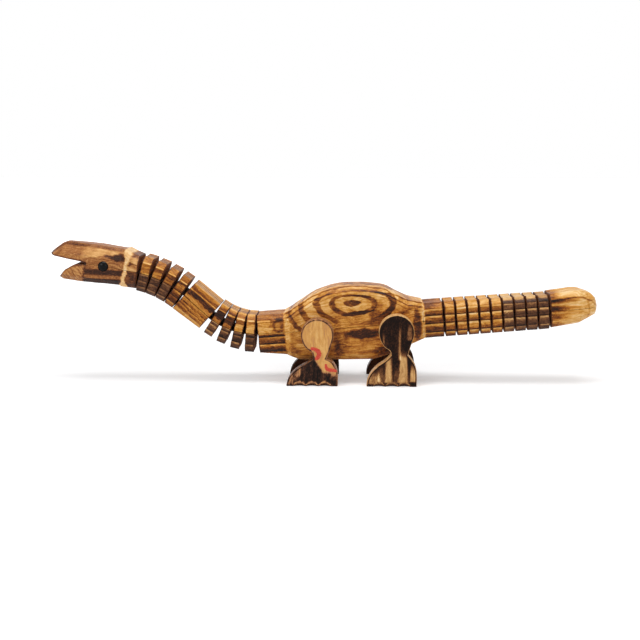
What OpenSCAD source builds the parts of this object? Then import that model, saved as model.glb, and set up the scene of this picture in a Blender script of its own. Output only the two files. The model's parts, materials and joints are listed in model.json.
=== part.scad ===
// Wooden toy dinosaur with a flexible neck and tail.
// Two boards are glued to a flexible strip, carved, and sawn down to the strip from both sides.
// All wood is drawn as it was sawn, in one straight line, and each piece is then turned
// about the strip into the pose of the toy at rest. Sizes are in mm, angles in degrees.
// X runs from the head to the tail, Y across, Z up from the ground.

/* [Stance] */
// Height of the strip above the ground below the middle of the body
strip_height = 37.4; // [34:0.1:42]
// Slope of the body along its length, tail end up
body_tilt = 4.8; // [0:0.1:7]
// Bend of each of the five joints nearest the body, neck rising
lower_neck_bend = 9.4; // [4:0.1:9.8]
// Bend of each of the five joints nearest the head, head levelling out
upper_neck_bend = 6.5; // [2:0.1:8]

/* [Strip] */
// Thickness of the flexible strip glued between the two boards
strip_thick = 0.8; // [0.5:0.1:1.2]
// Distance of the strip's edges from the sides of the wood
strip_inset = 0.3; // [0.1:0.1:0.8]

/* [Neck] */
// Distance from the middle of the body to the first neck saw cut
neck_root = 63.2; // [60:0.1:66]
// Width of each of the five neck saw cuts nearest the body
neck_kerf = 2.2; // [2.1:0.1:2.8]
// Width of each of the five neck saw cuts nearest the head
head_kerf = 1.8; // [1.5:0.1:2.4]
// Length of each short neck piece between the body and the long piece
neck_piece = 5.9; // [5:0.1:8]
// Length of each short neck piece between the long piece and the head
head_piece = 6.3; // [5:0.1:8]
// Length of the long piece in the middle of the neck
neck_long = 21.9; // [16:0.1:26]
// Short neck pieces on each side of the long one
neck_count = 4; // [4:1:4]

/* [Tail] */
// Distance from the middle of the body to the first tail saw cut
tail_root = 60; // [57:0.1:64]
// Width of each tail saw cut
tail_kerf = 1.2; // [1:0.1:2]
// Length of each short tail piece
tail_piece = 6.4; // [5.4:0.1:7.4]
// Number of short tail pieces
tail_count = 9; // [9:1:9]
// Length of the solid tip of the tail
tip_length = 30.8; // [26:0.1:38]

/* [Section] */
// Width of the wood in the neck and tail
board_width = 28; // [26:0.1:29.4]
// Bevel along the long edges of the neck and tail
edge_bevel = 4; // [3:0.1:4.6]
// Depth of the carved grooves along the wood
groove_depth = 0.5; // [0.2:0.1:0.8]
// Half width of a carved groove
groove_half = 1.2; // [0.8:0.1:1.5]
// Height above or below the strip of the groove in each side of the neck
side_groove = 4.2; // [3.4:0.1:4.6]
// Height above or below the strip of the groove in each side of the tail
tail_groove = 2.7; // [2.2:0.1:4.2]
// Distance from the middle of the grooves in top and bottom
face_groove = 4; // [3:0.1:5.5]
// Height of the wood above the strip at the neck root
neck_up_root = 11.9; // [11:0.1:12.6]
// Height of the wood above the strip in the short pieces between body and long piece
neck_up_rear = 12.3; // [11.4:0.1:12.8]
// Height of the wood above the strip in the long piece, at its end towards the body
neck_up_long = 11.1; // [10.4:0.1:12]
// Height of the wood above the strip in the long piece, at its end towards the head
neck_up_waist = 10.3; // [9.6:0.1:11]
// Height of the wood above the strip behind the head
neck_up_head = 11.3; // [10.6:0.1:11.8]
// Depth of the wood below the strip at the neck root
neck_down_root = 13; // [12:0.1:14]
// Slope of the underside of the neck root down to the shoulder
root_slope = 8; // [4:0.1:10]
// Depth of the wood below the strip in the long piece, at its end towards the body
neck_down_waist = 10.4; // [9.8:0.1:11.2]
// Depth of the wood below the strip from the long piece's other end to the head
neck_down_head = 12.3; // [11.4:0.1:12.8]
// Height of the wood above the strip at the tail root
tail_up_root = 11.3; // [10.8:0.1:12]
// Height of the wood above the strip at the tip of the tail
tail_up_tip = 10.3; // [9.8:0.1:11]
// Depth of the wood below the strip at the tail root
tail_down_root = 11.6; // [10.8:0.1:12.2]
// Depth of the wood below the strip at the tip of the tail
tail_down_tip = 11.8; // [10.4:0.1:12.2]

/* [Body] */
// Width of the body, on which the legs are glued
body_width = 31; // [30:0.1:33]
// Distance from the middle of the body to its shoulder at the neck
shoulder = 44; // [42:0.1:47]
// Distance from the middle of the body to its shoulder at the tail
rump = 46.8; // [44:0.1:50]
// Height of the back above the strip
back_height = 26.9; // [25:0.1:30]
// Depth of the belly below the strip
belly_depth = 22.4; // [20:0.1:23.6]
// Length of the facet cut on each side where the body meets the tail
facet_length = 6.5; // [4:0.1:8]
// Depth of that facet at its deep end
facet_depth = 1.9; // [1:0.1:2.4]
// Width of the outer bevel round the edges of the body
body_bevel = 2.6; // [1.6:0.1:3.2]
// Length of the roots of neck and tail that lies inside the body
root_overlap = 5; // [3:0.1:7]

/* [Head] */
// Length of the upper half of the head from its saw cut to the snout
head_length = 59.6; // [54:0.1:66]
// Length of the lower half of the head from its saw cut to the chin
chin_length = 51.4; // [46:0.1:56]
// Distance from the saw cut to the corner of the mouth
mouth_corner = 34.0; // [31:0.1:38]
// Height of the collar's front edge above the strip
collar_up = 13.2; // [12:0.1:14]
// Depth of the collar below the strip
collar_down = 11; // [10:0.1:12]
// Length of the collar behind the head
collar_length = 9.6; // [8:0.1:12]
// Step from the sides of the collar in to the sides of the head
head_step = 0.9; // [0.4:0.1:1.6]
// Width of the snout at its tip
snout_width = 14; // [11:0.1:18]
// Bevel along the top edges of the head
head_bevel = 6.2; // [4:0.1:7]
// Distance from the saw cut to the eye
eye_x = 22.6; // [19:0.1:26]
// Diameter of the eye
eye_d = 7; // [6:0.1:8]
// Height of the eye's dome
eye_dome = 2.1; // [1.4:0.1:2.8]
// Diameter of the eye's shank
eye_shank_d = 3; // [2.4:0.1:3.6]
// Length of the eye's shank
eye_shank = 6; // [4:0.1:8]

/* [Legs] */
// Thickness of each leg plate
leg_thick = 9; // [7.5:0.1:10.5]
// Distance from the middle of the body to the front hip
front_hip = 22.6; // [21:0.1:24]
// Distance from the middle of the body to the rear hip
rear_hip = 28.6; // [27:0.1:30]
// Height of the front hip above the ground
front_hip_z = 33.4; // [32:0.1:35]
// Height of the rear hip above the ground
rear_hip_z = 35.3; // [34:0.1:37]
// Radius of the front hip's round top
front_hip_r = 10.6; // [9.8:0.1:11.2]
// Radius of the rear hip's round top
rear_hip_r = 11.4; // [10.6:0.1:12]
// Height of the front ankle
front_ankle = 18; // [16.5:0.1:19]
// Height of the rear ankle
rear_ankle = 20.6; // [19:0.1:21.6]
// Front ankle: distance of the shin in front of the hip
front_shin = 2.4; // [1.6:0.1:3.4]
// Front ankle: distance of the calf behind the hip
front_calf = 5.9; // [5:0.1:6.8]
// Rear ankle: distance of the shin in front of the hip
rear_shin = 3.4; // [2.4:0.1:4.4]
// Rear ankle: distance of the calf behind the hip
rear_calf = 7.3; // [6.2:0.1:8]
// Reach of a front foot forwards from below the hip
front_toe = 20.2; // [16:0.1:21]
// Reach of a rear foot forwards from below the hip
rear_toe = 19.3; // [16:0.1:20]
// Reach of a foot backwards from below the hip
heel_reach = 13.3; // [11:0.1:14]
// Height of the gouged toes on the outer face of a foot
toe_height = 2.7; // [1.6:0.1:3.6]
// Distance between the gouged toes
toe_pitch = 8.2; // [6:0.1:8.6]
// Radius of the gouge
toe_r = 5.6; // [4.6:0.1:6.4]
// Diameter of the hidden leg dowels
dowel_d = 4; // [3:0.1:4.4]
// Length of each leg dowel
dowel_length = 12; // [10:0.1:13]
// Distance of the upper dowel above the strip
dowel_up = 3.8; // [3.4:0.1:4]
// Distance of the lower dowel below the strip
dowel_down = 8; // [6:0.1:8.6]

/* [Fits] */
// Thickness of the glue on each face of the strip
glue_gap = 0.02; // [0.01:0.01:0.05]
// Gap all round a dowel or a shank in its hole
hole_gap = 0.05; // [0.02:0.01:0.1]
// Free depth at the end of a hole
hole_end = 0.4; // [0.2:0.1:0.8]

/* [Hidden] */
$fn = 64;
big = 500;
skin = strip_thick / 2 + glue_gap;
head_width = board_width - 2 * head_step;
neck_pitch = neck_piece + neck_kerf;
long_pitch = neck_long + (neck_kerf + head_kerf) / 2;
head_pitch = head_piece + head_kerf;
tail_pitch = tail_piece + tail_kerf;
neck_joints = 2 * neck_count + 2;
tail_joints = tail_count + 1;
// Place of the saw cuts along the straight board, body in the middle
function neck_cut(i) = -neck_root - (i <= neck_count ? i * neck_pitch
    : neck_count * neck_pitch + long_pitch + (i - neck_count - 1) * head_pitch);
function neck_saw(i) = i <= neck_count ? neck_kerf : head_kerf;
function tail_cut(i) = tail_root + i * tail_pitch;
function neck_turn(i) = i <= neck_count ? lower_neck_bend : -upper_neck_bend;
head_cut = neck_cut(neck_joints - 1);
head_face = head_cut - head_kerf / 2;
tip_face = tail_cut(tail_joints - 1) + tail_kerf / 2;
long_rear = neck_cut(neck_count);
long_front = neck_cut(neck_count + 1);
half_body = body_width / 2;
leg_outer = half_body + leg_thick;

// Where the end of the straight board beyond neck cut i comes to lie, seen from the side
function neck_angle(i) = (i == 0 ? body_tilt : neck_angle(i - 1)) - neck_turn(i);
function neck_at(i) = i == 0
    ? [-neck_root * cos(body_tilt), strip_height - neck_root * sin(body_tilt)]
    : neck_at(i - 1) + (neck_cut(i) - neck_cut(i - 1))
        * [cos(neck_angle(i - 1)), sin(neck_angle(i - 1))];
// The toy is centred between the snout and the tip of the tail
head_angle = neck_angle(neck_joints - 1);
snout = neck_at(neck_joints - 1)
    - [(head_length + head_kerf / 2) * cos(head_angle) + 2 * sin(head_angle), 0];
tail_end = (tip_face + tip_length) * cos(body_tilt) - 1.4 * sin(body_tilt);
middle = -(snout[0] + tail_end) / 2;

module body_pose()
    translate([middle, 0, strip_height])
        rotate([0, -body_tilt, 0])
            children();

module bend_from(i, last)
    if (i <= last)
        translate([neck_cut(i), 0, 0])
            rotate([0, neck_turn(i), 0])
                translate([-neck_cut(i), 0, 0])
                    bend_from(i + 1, last)
                        children();
    else
        children();

// Pose of the wood between neck cut i and the next
module neck_pose(i)
    body_pose()
        bend_from(0, i)
            children();

// Height of the wood above the strip, and below it, at a short piece of neck or tail
function between(x, x0, v0, x1, v1) = v0 + (v1 - v0) * (x - x0) / (x1 - x0);
function neck_up(x) = x > long_rear ? neck_up_rear
    : between(x, long_front, neck_up_waist, head_cut, neck_up_head);
function neck_down(x) = x > long_rear
    ? between(x, -neck_root, neck_down_root, long_rear, neck_down_waist)
    : neck_down_head;
function tail_up(x) = between(x, tail_root, tail_up_root, tip_face, tail_up_tip);
function tail_down(x) = between(x, tail_root, tail_down_root, tip_face, tail_down_tip);

// Half a cross-section with bevelled edges and carved grooves, standing on height z0,
// its side grooves at height g
function half_section(w, h, z0, g) = [
    [-w, z0],
    [-w, g - groove_half],
    [-w + groove_depth, g],
    [-w, g + groove_half],
    [-w, h - edge_bevel],
    [-w + edge_bevel, h],
    [-face_groove - groove_half, h],
    [-face_groove, h - groove_depth],
    [-face_groove + groove_half, h],
    [face_groove - groove_half, h],
    [face_groove, h - groove_depth],
    [face_groove + groove_half, h],
    [w - edge_bevel, h],
    [w, h - edge_bevel],
    [w, g + groove_half],
    [w - groove_depth, g],
    [w, g - groove_half],
    [w, z0]
];

// A block of board from x0 to x1, h high above the middle of the strip
module block(x0, x1, h, z0 = skin, g = side_groove)
    translate([x0, 0, 0])
        rotate([90, 0, 90])
            linear_extrude(x1 - x0)
                polygon(half_section(board_width / 2, h, z0, g));

// A block whose height runs evenly from h0 at x0 to h1 at x1
module wedge(x0, x1, h0, h1)
    intersection() {
        translate([(x0 + x1) / 2, 0, (h0 + h1) / 2])
            rotate([0, -atan((h1 - h0) / (x1 - x0)), 0])
                translate([-(x0 + x1) / 2, 0, -(h0 + h1) / 2])
                    block(x0 - root_overlap, x1 + root_overlap, (h0 + h1) / 2,
                        -root_overlap);
        translate([x0, -big / 2, skin])
            cube([x1 - x0, big, big]);
    }

module under()
    mirror([0, 0, 1])
        children();

// The wood of the neck between cut i and the next, in its pose
module neck_half(i, lower = false)
    neck_pose(i) {
        x0 = neck_cut(i + 1) + neck_saw(i + 1) / 2;
        x1 = neck_cut(i) - neck_saw(i) / 2;
        if (lower)
            under()
                block(x0, x1, neck_down((x0 + x1) / 2));
        else
            block(x0, x1, neck_up((x0 + x1) / 2));
    }

// The long piece tapers from one end to the other
module long_half(lower = false)
    neck_pose(neck_count) {
        x0 = long_front + head_kerf / 2;
        x1 = long_rear - neck_kerf / 2;
        if (lower)
            under()
                wedge(x0, x1, neck_down_head, neck_down_waist);
        else
            wedge(x0, x1, neck_up_waist, neck_up_long);
    }

// The wood of a short tail piece beyond cut i
module tail_half(i, lower = false)
    body_pose() {
        x0 = tail_cut(i) + tail_kerf / 2;
        x1 = x0 + tail_piece;
        if (lower)
            under()
                block(x0, x1, tail_down((x0 + x1) / 2), g = tail_groove);
        else
            block(x0, x1, tail_up((x0 + x1) / 2), g = tail_groove);
    }

// The last solid piece of the tail, cut to a blunt rounded wedge
module tip_shape(lower = false) {
    l = tip_length;
    u = tail_up_tip;
    d = tail_down_tip;
    intersection() {
        if (lower)
            under()
                block(0, l, d, g = tail_groove);
        else
            block(0, l, 1.17 * u, g = tail_groove);
        rotate([90, 0, 0])
            linear_extrude(board_width + 2, center = true)
                polygon([[0, -0.94 * d], [0.6 * l, -0.77 * d], [0.8 * l, -0.57 * d],
                    [0.93 * l, -0.4 * d], [0.98 * l, -0.25 * d], [l, 0.12 * u],
                    [0.985 * l, 0.53 * u], [0.88 * l, 0.88 * u], [0.66 * l, 1.14 * u],
                    [0.5 * l, 1.15 * u], [0, 1.05 * u]]);
        translate([0, 0, -big / 2])
            linear_extrude(big)
                polygon([[0, -board_width / 2], [0.6 * l, -board_width / 2],
                    [0.8 * l, -0.45 * board_width], [0.94 * l, -0.36 * board_width],
                    [l, -0.24 * board_width], [l, 0.24 * board_width],
                    [0.94 * l, 0.36 * board_width], [0.8 * l, 0.45 * board_width],
                    [0.6 * l, board_width / 2], [0, board_width / 2]]);
    }
}

// Outline of the carved body, seen from the side, on the straight board
function body_outline() = [
    [-shoulder, -0.71 * belly_depth],
    [-0.8 * shoulder, -0.86 * belly_depth],
    [-0.38 * shoulder, -0.93 * belly_depth],
    [0.12 * rump, -belly_depth],
    [0.3 * rump, -belly_depth],
    [0.6 * rump, -0.82 * belly_depth],
    [0.83 * rump, -0.64 * belly_depth],
    [rump, -0.53 * belly_depth],
    [rump, 0.46 * back_height],
    [0.9 * rump, 0.5 * back_height],
    [0.78 * rump, 0.567 * back_height],
    [0.64 * rump, 0.705 * back_height],
    [0.5 * rump, 0.857 * back_height],
    [0.3 * rump, 0.945 * back_height],
    [0, back_height],
    [-0.14 * shoulder, 0.995 * back_height],
    [-0.27 * shoulder, 0.975 * back_height],
    [-0.41 * shoulder, 0.92 * back_height],
    [-0.55 * shoulder, 0.84 * back_height],
    [-0.78 * shoulder, 0.64 * back_height],
    [-0.93 * shoulder, 0.5 * back_height],
    [-shoulder, 0.455 * back_height]
];

// The same outline moved inwards by d
function unit(v) = v / norm(v);
function inward(p, q) = let (u = unit(q - p)) [-u[1], u[0]];
function inset(o, d) = [for (i = [0:len(o) - 1])
    let (n = len(o), a = inward(o[(i + n - 1) % n], o[i]), b = inward(o[i], o[(i + 1) % n]))
        o[i] + d * (a + b) / (1 + a * b)];

// Body with its edges bevelled in two steps
module body_shape() {
    o = body_outline();
    n = len(o);
    rings = [
        [-half_body, 1.55 * body_bevel],
        [-half_body + 0.55 * body_bevel, 0.55 * body_bevel],
        [-half_body + 1.55 * body_bevel, 0],
        [half_body - 1.55 * body_bevel, 0],
        [half_body - 0.55 * body_bevel, 0.55 * body_bevel],
        [half_body, 1.55 * body_bevel]
    ];
    m = len(rings);
    polyhedron(
        points = [for (r = rings, p = inset(o, r[1])) [p[0], r[0], p[1]]],
        faces = concat(
            [[for (i = [n - 1:-1:0]) i]],
            [[for (i = [0:n - 1]) (m - 1) * n + i]],
            [for (k = [0:m - 2], i = [0:n - 1])
                [k * n + i, k * n + (i + 1) % n, (k + 1) * n + (i + 1) % n, (k + 1) * n + i]]
        )
    );
}

// The roots of neck and tail reach from the body to the first saw cuts
neck_root_face = -neck_root + neck_kerf / 2;
tail_root_face = tail_root - tail_kerf / 2;

module roots_above() {
    block(neck_root_face, -shoulder + root_overlap, neck_up_root);
    block(rump - root_overlap, tail_root_face, tail_up_root, g = tail_groove);
}

// Below the strip the neck root is carved deeper towards the body
module roots_below() {
    intersection() {
        translate([neck_root_face, 0, -neck_down_root])
            rotate([0, root_slope, 0])
                translate([-neck_root_face, 0, neck_down_root])
                    under()
                        block(neck_root_face - root_overlap, -shoulder + root_overlap,
                            neck_down_root, -root_overlap);
        translate([neck_root_face, -big / 2, -big - skin])
            cube(big);
    }
    under()
        block(rump - root_overlap, tail_root_face, tail_down_root, g = tail_groove);
}

// Wood pared off each side of the body where the tail starts
module tail_facets()
    for (s = [-1, 1])
        translate([0, 0, -big / 2])
            linear_extrude(big)
                polygon([[rump - facet_length, s * half_body],
                    [rump - facet_length, s * (half_body + 1)],
                    [rump + 1, s * (half_body + 1)], [rump + 1, s * (half_body - facet_depth)],
                    [rump, s * (half_body - facet_depth)]]);

// Body with the two roots, cut off at the strip
module body_half(lower = false)
    body_pose()
        difference() {
            union() {
                difference() {
                    intersection() {
                        body_shape();
                        translate([-big / 2, -big / 2, lower ? -big - skin : skin])
                            cube(big);
                    }
                    tail_facets();
                }
                if (lower)
                    roots_below();
                else
                    roots_above();
            }
            dowel_holes();
        }

// Straight-board place of the dowels of a leg
function hip_board(x) = x * cos(body_tilt);

module each_dowel()
    for (x = [-hip_board(front_hip), hip_board(rear_hip)], z = [dowel_up, -dowel_down],
        s = [-1, 1])
            translate([x, s * half_body, z])
                rotate([90, 0, 0])
                    children();

module dowel_holes()
    each_dowel()
        cylinder(r = dowel_d / 2 + hole_gap, h = dowel_length + 2 * hole_end, center = true);

// Side view of a leg on the ground, its hip at x = 0. The sole runs from -toe to heel,
// and the ankle, a high, from -shin to calf.
module leg_outline(r, z, toe, heel, a, shin, calf) {
    translate([0, z])
        circle(r);
    polygon([[-0.5 * r, z], [-0.84 * r, z - 0.58 * r], [-0.66 * r, z - 0.83 * r],
        [-0.36 * r, z - 1.05 * r], [-shin, a], [-0.35 * toe, 0.83 * a],
        [-0.62 * toe, 0.65 * a], [-0.83 * toe, 0.44 * a], [-0.955 * toe, 0.22 * a],
        [-toe, 0], [heel, 0], [0.985 * heel, 0.48 * a], [0.9 * heel, 0.69 * a],
        [0.68 * heel, 0.91 * a], [calf, a], [0.7 * r, z - 1.1 * r],
        [0.94 * r, z - 0.34 * r], [0.5 * r, z]]);
}

module leg(x, r, z, toe, heel, a, shin, calf, side)
    difference() {
        translate([middle + x, side * (half_body + leg_thick / 2), 0])
            rotate([90, 0, 0])
                linear_extrude(leg_thick, center = true)
                    leg_outline(r, z, toe, heel, a, shin, calf);
        body_pose()
            dowel_holes();
        // Toes gouged into the lower outer edge
        for (i = [-1:1])
            translate([middle + x + (heel - toe) / 2 + i * toe_pitch, side * leg_outer, 0])
                rotate([-side * 40, 0, 0])
                    translate([0, side * (toe_r - toe_height * sin(40)), 0])
                        cylinder(r = toe_r, h = 4 * toe_r, center = true);
    }

// Half of the head with its collar, seen from above
module head_plan(reach) {
    w = board_width / 2;
    v = head_width / 2;
    taper = v - (v - snout_width / 2) * (reach - mouth_corner) / (head_length - mouth_corner);
    translate([0, 0, -big / 2])
        linear_extrude(big)
            polygon([[0, -w], [0, w], [-collar_length, w], [-collar_length - 1.4, v],
                [-mouth_corner, v], [-0.93 * reach, taper + 0.6], [-reach, taper - 1.6],
                [-reach, -taper + 1.6], [-0.93 * reach, -taper - 0.6], [-mouth_corner, -v],
                [-collar_length - 1.4, -v], [-collar_length, -w]]);
}

module eye_holes()
    for (s = [-1, 1])
        translate([head_face - eye_x, s * head_width / 2, 0])
            rotate([90, 0, 0])
                cylinder(r = eye_shank_d / 2 + hole_gap, h = 2 * (eye_shank + hole_end),
                    center = true);

module head_top() {
    l = head_length;
    u = collar_up;
    flat = head_width / 2 - head_bevel;
    difference() {
        translate([head_face, 0, 0])
            intersection() {
                rotate([90, 0, 0])
                    linear_extrude(board_width + 2, center = true)
                        polygon([[0, skin], [0, 0.79 * u], [-0.5 * collar_length, 0.88 * u],
                            [-collar_length, u], [-collar_length - 1.4, u - 0.3],
                            [-0.5 * l, 0.965 * u], [-0.84 * l, 0.855 * u],
                            [-0.89 * l, 0.735 * u], [-0.96 * l, 0.42 * u],
                            [-0.995 * l, 0.25 * u], [-l, 0.15 * u], [-0.985 * l, 0.075 * u],
                            [-0.96 * l, skin + 0.2], [-mouth_corner, skin]]);
                head_plan(head_length);
                // Long bevels on both top edges, sloping with the top
                translate([0, 0, u])
                    rotate([0, -2.2, 0])
                        translate([-big, 0, 0])
                            rotate([90, 0, 90])
                                linear_extrude(2 * big)
                                    polygon([[-board_width, -2 * board_width],
                                        [-board_width, -1.2 * (board_width - flat)],
                                        [-flat, 0], [flat, 0],
                                        [board_width, -1.2 * (board_width - flat)],
                                        [board_width, -2 * board_width]]);
            }
        eye_holes();
    }
}

module head_bottom() {
    l = chin_length;
    d = collar_down;
    flat = head_width / 2 - edge_bevel;
    difference() {
        translate([head_face, 0, 0])
            intersection() {
                rotate([90, 0, 0])
                    linear_extrude(board_width + 2, center = true)
                        polygon([[0, -skin], [-mouth_corner, -skin], [-0.84 * l, -0.28 * d],
                            [-0.93 * l, -0.62 * d], [-l, -1.14 * d], [-0.995 * l, -1.21 * d],
                            [-0.97 * l, -1.25 * d], [-0.76 * l, -1.19 * d],
                            [-collar_length - 1.4, -0.99 * d], [-collar_length, -1.04 * d],
                            [0, -d]]);
                head_plan(l);
                // Long bevels on both bottom edges, sloping down to the chin
                translate([0, 0, -1.0 * d])
                    rotate([0, -3, 0])
                        translate([-big, 0, 0])
                            rotate([90, 0, 90])
                                linear_extrude(2 * big)
                                    polygon([[-board_width, 2 * board_width],
                                        [-board_width, board_width - flat],
                                        [-flat, 0], [flat, 0],
                                        [board_width, board_width - flat],
                                        [board_width, 2 * board_width]]);
            }
        eye_holes();
    }
}

// One eye: a turned dome with a shank, drawn for the side s
module eye(s)
    neck_pose(neck_joints - 1)
        translate([head_face - eye_x, s * head_width / 2, 0])
            rotate([-s * 90, 0, 0]) {
                r = (eye_d * eye_d / 4 + eye_dome * eye_dome) / (2 * eye_dome);
                intersection() {
                    translate([0, 0, eye_dome - r])
                        sphere(r);
                    cylinder(d = eye_d, h = eye_dome + 1);
                }
                translate([0, 0, -eye_shank])
                    cylinder(d = eye_shank_d, h = eye_shank + 0.5);
            }

// The strip seen from the side: from the tip of the tail through the middle of each saw cut
// to the corner of the mouth, bent sharply at the cuts
function normal(a) = [-sin(a), cos(a)];
function mitre(a, b) = strip_thick / 2 * (normal(a) + normal(b)) / (1 + normal(a) * normal(b));
function run_angle(i) = i == 0 ? body_tilt : neck_angle(i - 1);
strip_reach = tip_face + 0.97 * tip_length;
strip_line = concat(
    [[strip_reach * cos(body_tilt), strip_height + strip_reach * sin(body_tilt)]],
    [for (i = [0:neck_joints - 1]) neck_at(i)],
    [neck_at(neck_joints - 1)
        - (head_kerf / 2 + mouth_corner) * [cos(head_angle), sin(head_angle)]]
);
strip_off = concat(
    [strip_thick / 2 * normal(body_tilt)],
    [for (i = [0:neck_joints - 1]) mitre(run_angle(i), run_angle(i + 1))],
    [strip_thick / 2 * normal(head_angle)]
);

module strip_shape() {
    n = len(strip_line);
    translate([middle, 0, 0])
        rotate([90, 0, 0])
            linear_extrude(board_width - 2 * strip_inset, center = true)
                polygon(concat([for (i = [0:n - 1]) strip_line[i] + strip_off[i]],
                    [for (i = [n - 1:-1:0]) strip_line[i] - strip_off[i]]));
}

// Short neck pieces are numbered from the head; cuts are numbered from the body
function cut_of(piece) = piece > neck_count ? 2 * neck_count - piece
    : 2 * neck_count + 1 - piece;

module head_upper()
    color("#b98a4e")
        neck_pose(neck_joints - 1)
            head_top();

module head_lower()
    color("#8a6236")
        neck_pose(neck_joints - 1)
            head_bottom();

module eye_left()
    color("#101010")
        eye(1);

module eye_right()
    color("#101010")
        eye(-1);

module neck_1_upper()
    color("#c08f50")
        neck_half(cut_of(1));

module neck_1_lower()
    color("#7a5430")
        neck_half(cut_of(1), true);

module neck_2_upper()
    color("#c08f50")
        neck_half(cut_of(2));

module neck_2_lower()
    color("#7a5430")
        neck_half(cut_of(2), true);

module neck_3_upper()
    color("#b07c42")
        neck_half(cut_of(3));

module neck_3_lower()
    color("#7a5430")
        neck_half(cut_of(3), true);

module neck_4_upper()
    color("#b07c42")
        neck_half(cut_of(4));

module neck_4_lower()
    color("#8f663a")
        neck_half(cut_of(4), true);

module neck_long_upper()
    color("#b98446")
        long_half();

module neck_long_lower()
    color("#b98a50")
        long_half(true);

module neck_5_upper()
    color("#a5753f")
        neck_half(cut_of(5));

module neck_5_lower()
    color("#6b4829")
        neck_half(cut_of(5), true);

module neck_6_upper()
    color("#a5753f")
        neck_half(cut_of(6));

module neck_6_lower()
    color("#6b4829")
        neck_half(cut_of(6), true);

module neck_7_upper()
    color("#c9934a")
        neck_half(cut_of(7));

module neck_7_lower()
    color("#5e4026")
        neck_half(cut_of(7), true);

module neck_8_upper()
    color("#c9934a")
        neck_half(cut_of(8));

module neck_8_lower()
    color("#5e4026")
        neck_half(cut_of(8), true);

module body_upper()
    color("#c08f50")
        body_half();

module body_lower()
    color("#b88a55")
        body_half(true);

module flex_strip()
    color("#3a2a1c")
        difference() {
            strip_shape();
            neck_pose(neck_joints - 1) {
                eye_holes();
                // The head is narrower than its collar
                for (s = [-1, 1])
                    translate([head_face - big - collar_length - 1,
                        s * (big / 2 + head_width / 2 - strip_inset) - big / 2, -big / 2])
                        cube(big);
            }
            // The tip of the tail narrows in three steps
            for (s = [-1, 1], k = [[0.6, 0.45], [0.8, 0.36], [0.94, 0.24]])
                body_pose()
                    translate([tip_face + k[0] * tip_length,
                        s * (big / 2 + k[1] * board_width - strip_inset) - big / 2, -big / 2])
                        cube(big);
        }

module tail_1_upper()
    color("#c9934a")
        tail_half(0);

module tail_1_lower()
    color("#b07c42")
        tail_half(0, true);

module tail_2_upper()
    color("#c9934a")
        tail_half(1);

module tail_2_lower()
    color("#b07c42")
        tail_half(1, true);

module tail_3_upper()
    color("#c9934a")
        tail_half(2);

module tail_3_lower()
    color("#b07c42")
        tail_half(2, true);

module tail_4_upper()
    color("#c08f50")
        tail_half(3);

module tail_4_lower()
    color("#a5753f")
        tail_half(3, true);

module tail_5_upper()
    color("#c08f50")
        tail_half(4);

module tail_5_lower()
    color("#a5753f")
        tail_half(4, true);

module tail_6_upper()
    color("#8a6236")
        tail_half(5);

module tail_6_lower()
    color("#7a5430")
        tail_half(5, true);

module tail_7_upper()
    color("#7a5430")
        tail_half(6);

module tail_7_lower()
    color("#6b4829")
        tail_half(6, true);

module tail_8_upper()
    color("#7a5430")
        tail_half(7);

module tail_8_lower()
    color("#5e4026")
        tail_half(7, true);

module tail_9_upper()
    color("#6b4829")
        tail_half(8);

module tail_9_lower()
    color("#5e4026")
        tail_half(8, true);

module tail_tip_upper()
    color("#b98a4e")
        body_pose()
            translate([tip_face, 0, 0])
                tip_shape();

module tail_tip_lower()
    color("#c09458")
        body_pose()
            translate([tip_face, 0, 0])
                tip_shape(true);

module front_leg(side)
    leg(-front_hip, front_hip_r, front_hip_z, front_toe, heel_reach, front_ankle,
        front_shin, front_calf, side);

module rear_leg(side)
    leg(rear_hip, rear_hip_r, rear_hip_z, rear_toe, heel_reach, rear_ankle,
        rear_shin, rear_calf, side);

// The toy faces -X, so its left side is the one at -Y
module front_left_leg()
    color("#d2b07a")
        front_leg(-1);

module front_right_leg()
    color("#5a4430")
        front_leg(1);

module rear_left_leg()
    color("#4a3a2c")
        rear_leg(-1);

module rear_right_leg()
    color("#5a4430")
        rear_leg(1);

module leg_dowels()
    color("#d8bd8c")
        body_pose()
            each_dowel()
                cylinder(d = dowel_d, h = dowel_length, center = true);

head_upper();
head_lower();
eye_left();
eye_right();
neck_1_upper();
neck_1_lower();
neck_2_upper();
neck_2_lower();
neck_3_upper();
neck_3_lower();
neck_4_upper();
neck_4_lower();
neck_long_upper();
neck_long_lower();
neck_5_upper();
neck_5_lower();
neck_6_upper();
neck_6_lower();
neck_7_upper();
neck_7_lower();
neck_8_upper();
neck_8_lower();
body_upper();
body_lower();
flex_strip();
tail_1_upper();
tail_1_lower();
tail_2_upper();
tail_2_lower();
tail_3_upper();
tail_3_lower();
tail_4_upper();
tail_4_lower();
tail_5_upper();
tail_5_lower();
tail_6_upper();
tail_6_lower();
tail_7_upper();
tail_7_lower();
tail_8_upper();
tail_8_lower();
tail_9_upper();
tail_9_lower();
tail_tip_upper();
tail_tip_lower();
front_left_leg();
front_right_leg();
rear_left_leg();
rear_right_leg();
leg_dowels();
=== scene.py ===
# A carved and scorched pine dinosaur whose neck and tail are sawn into pieces on a glued strip.
import math

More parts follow.
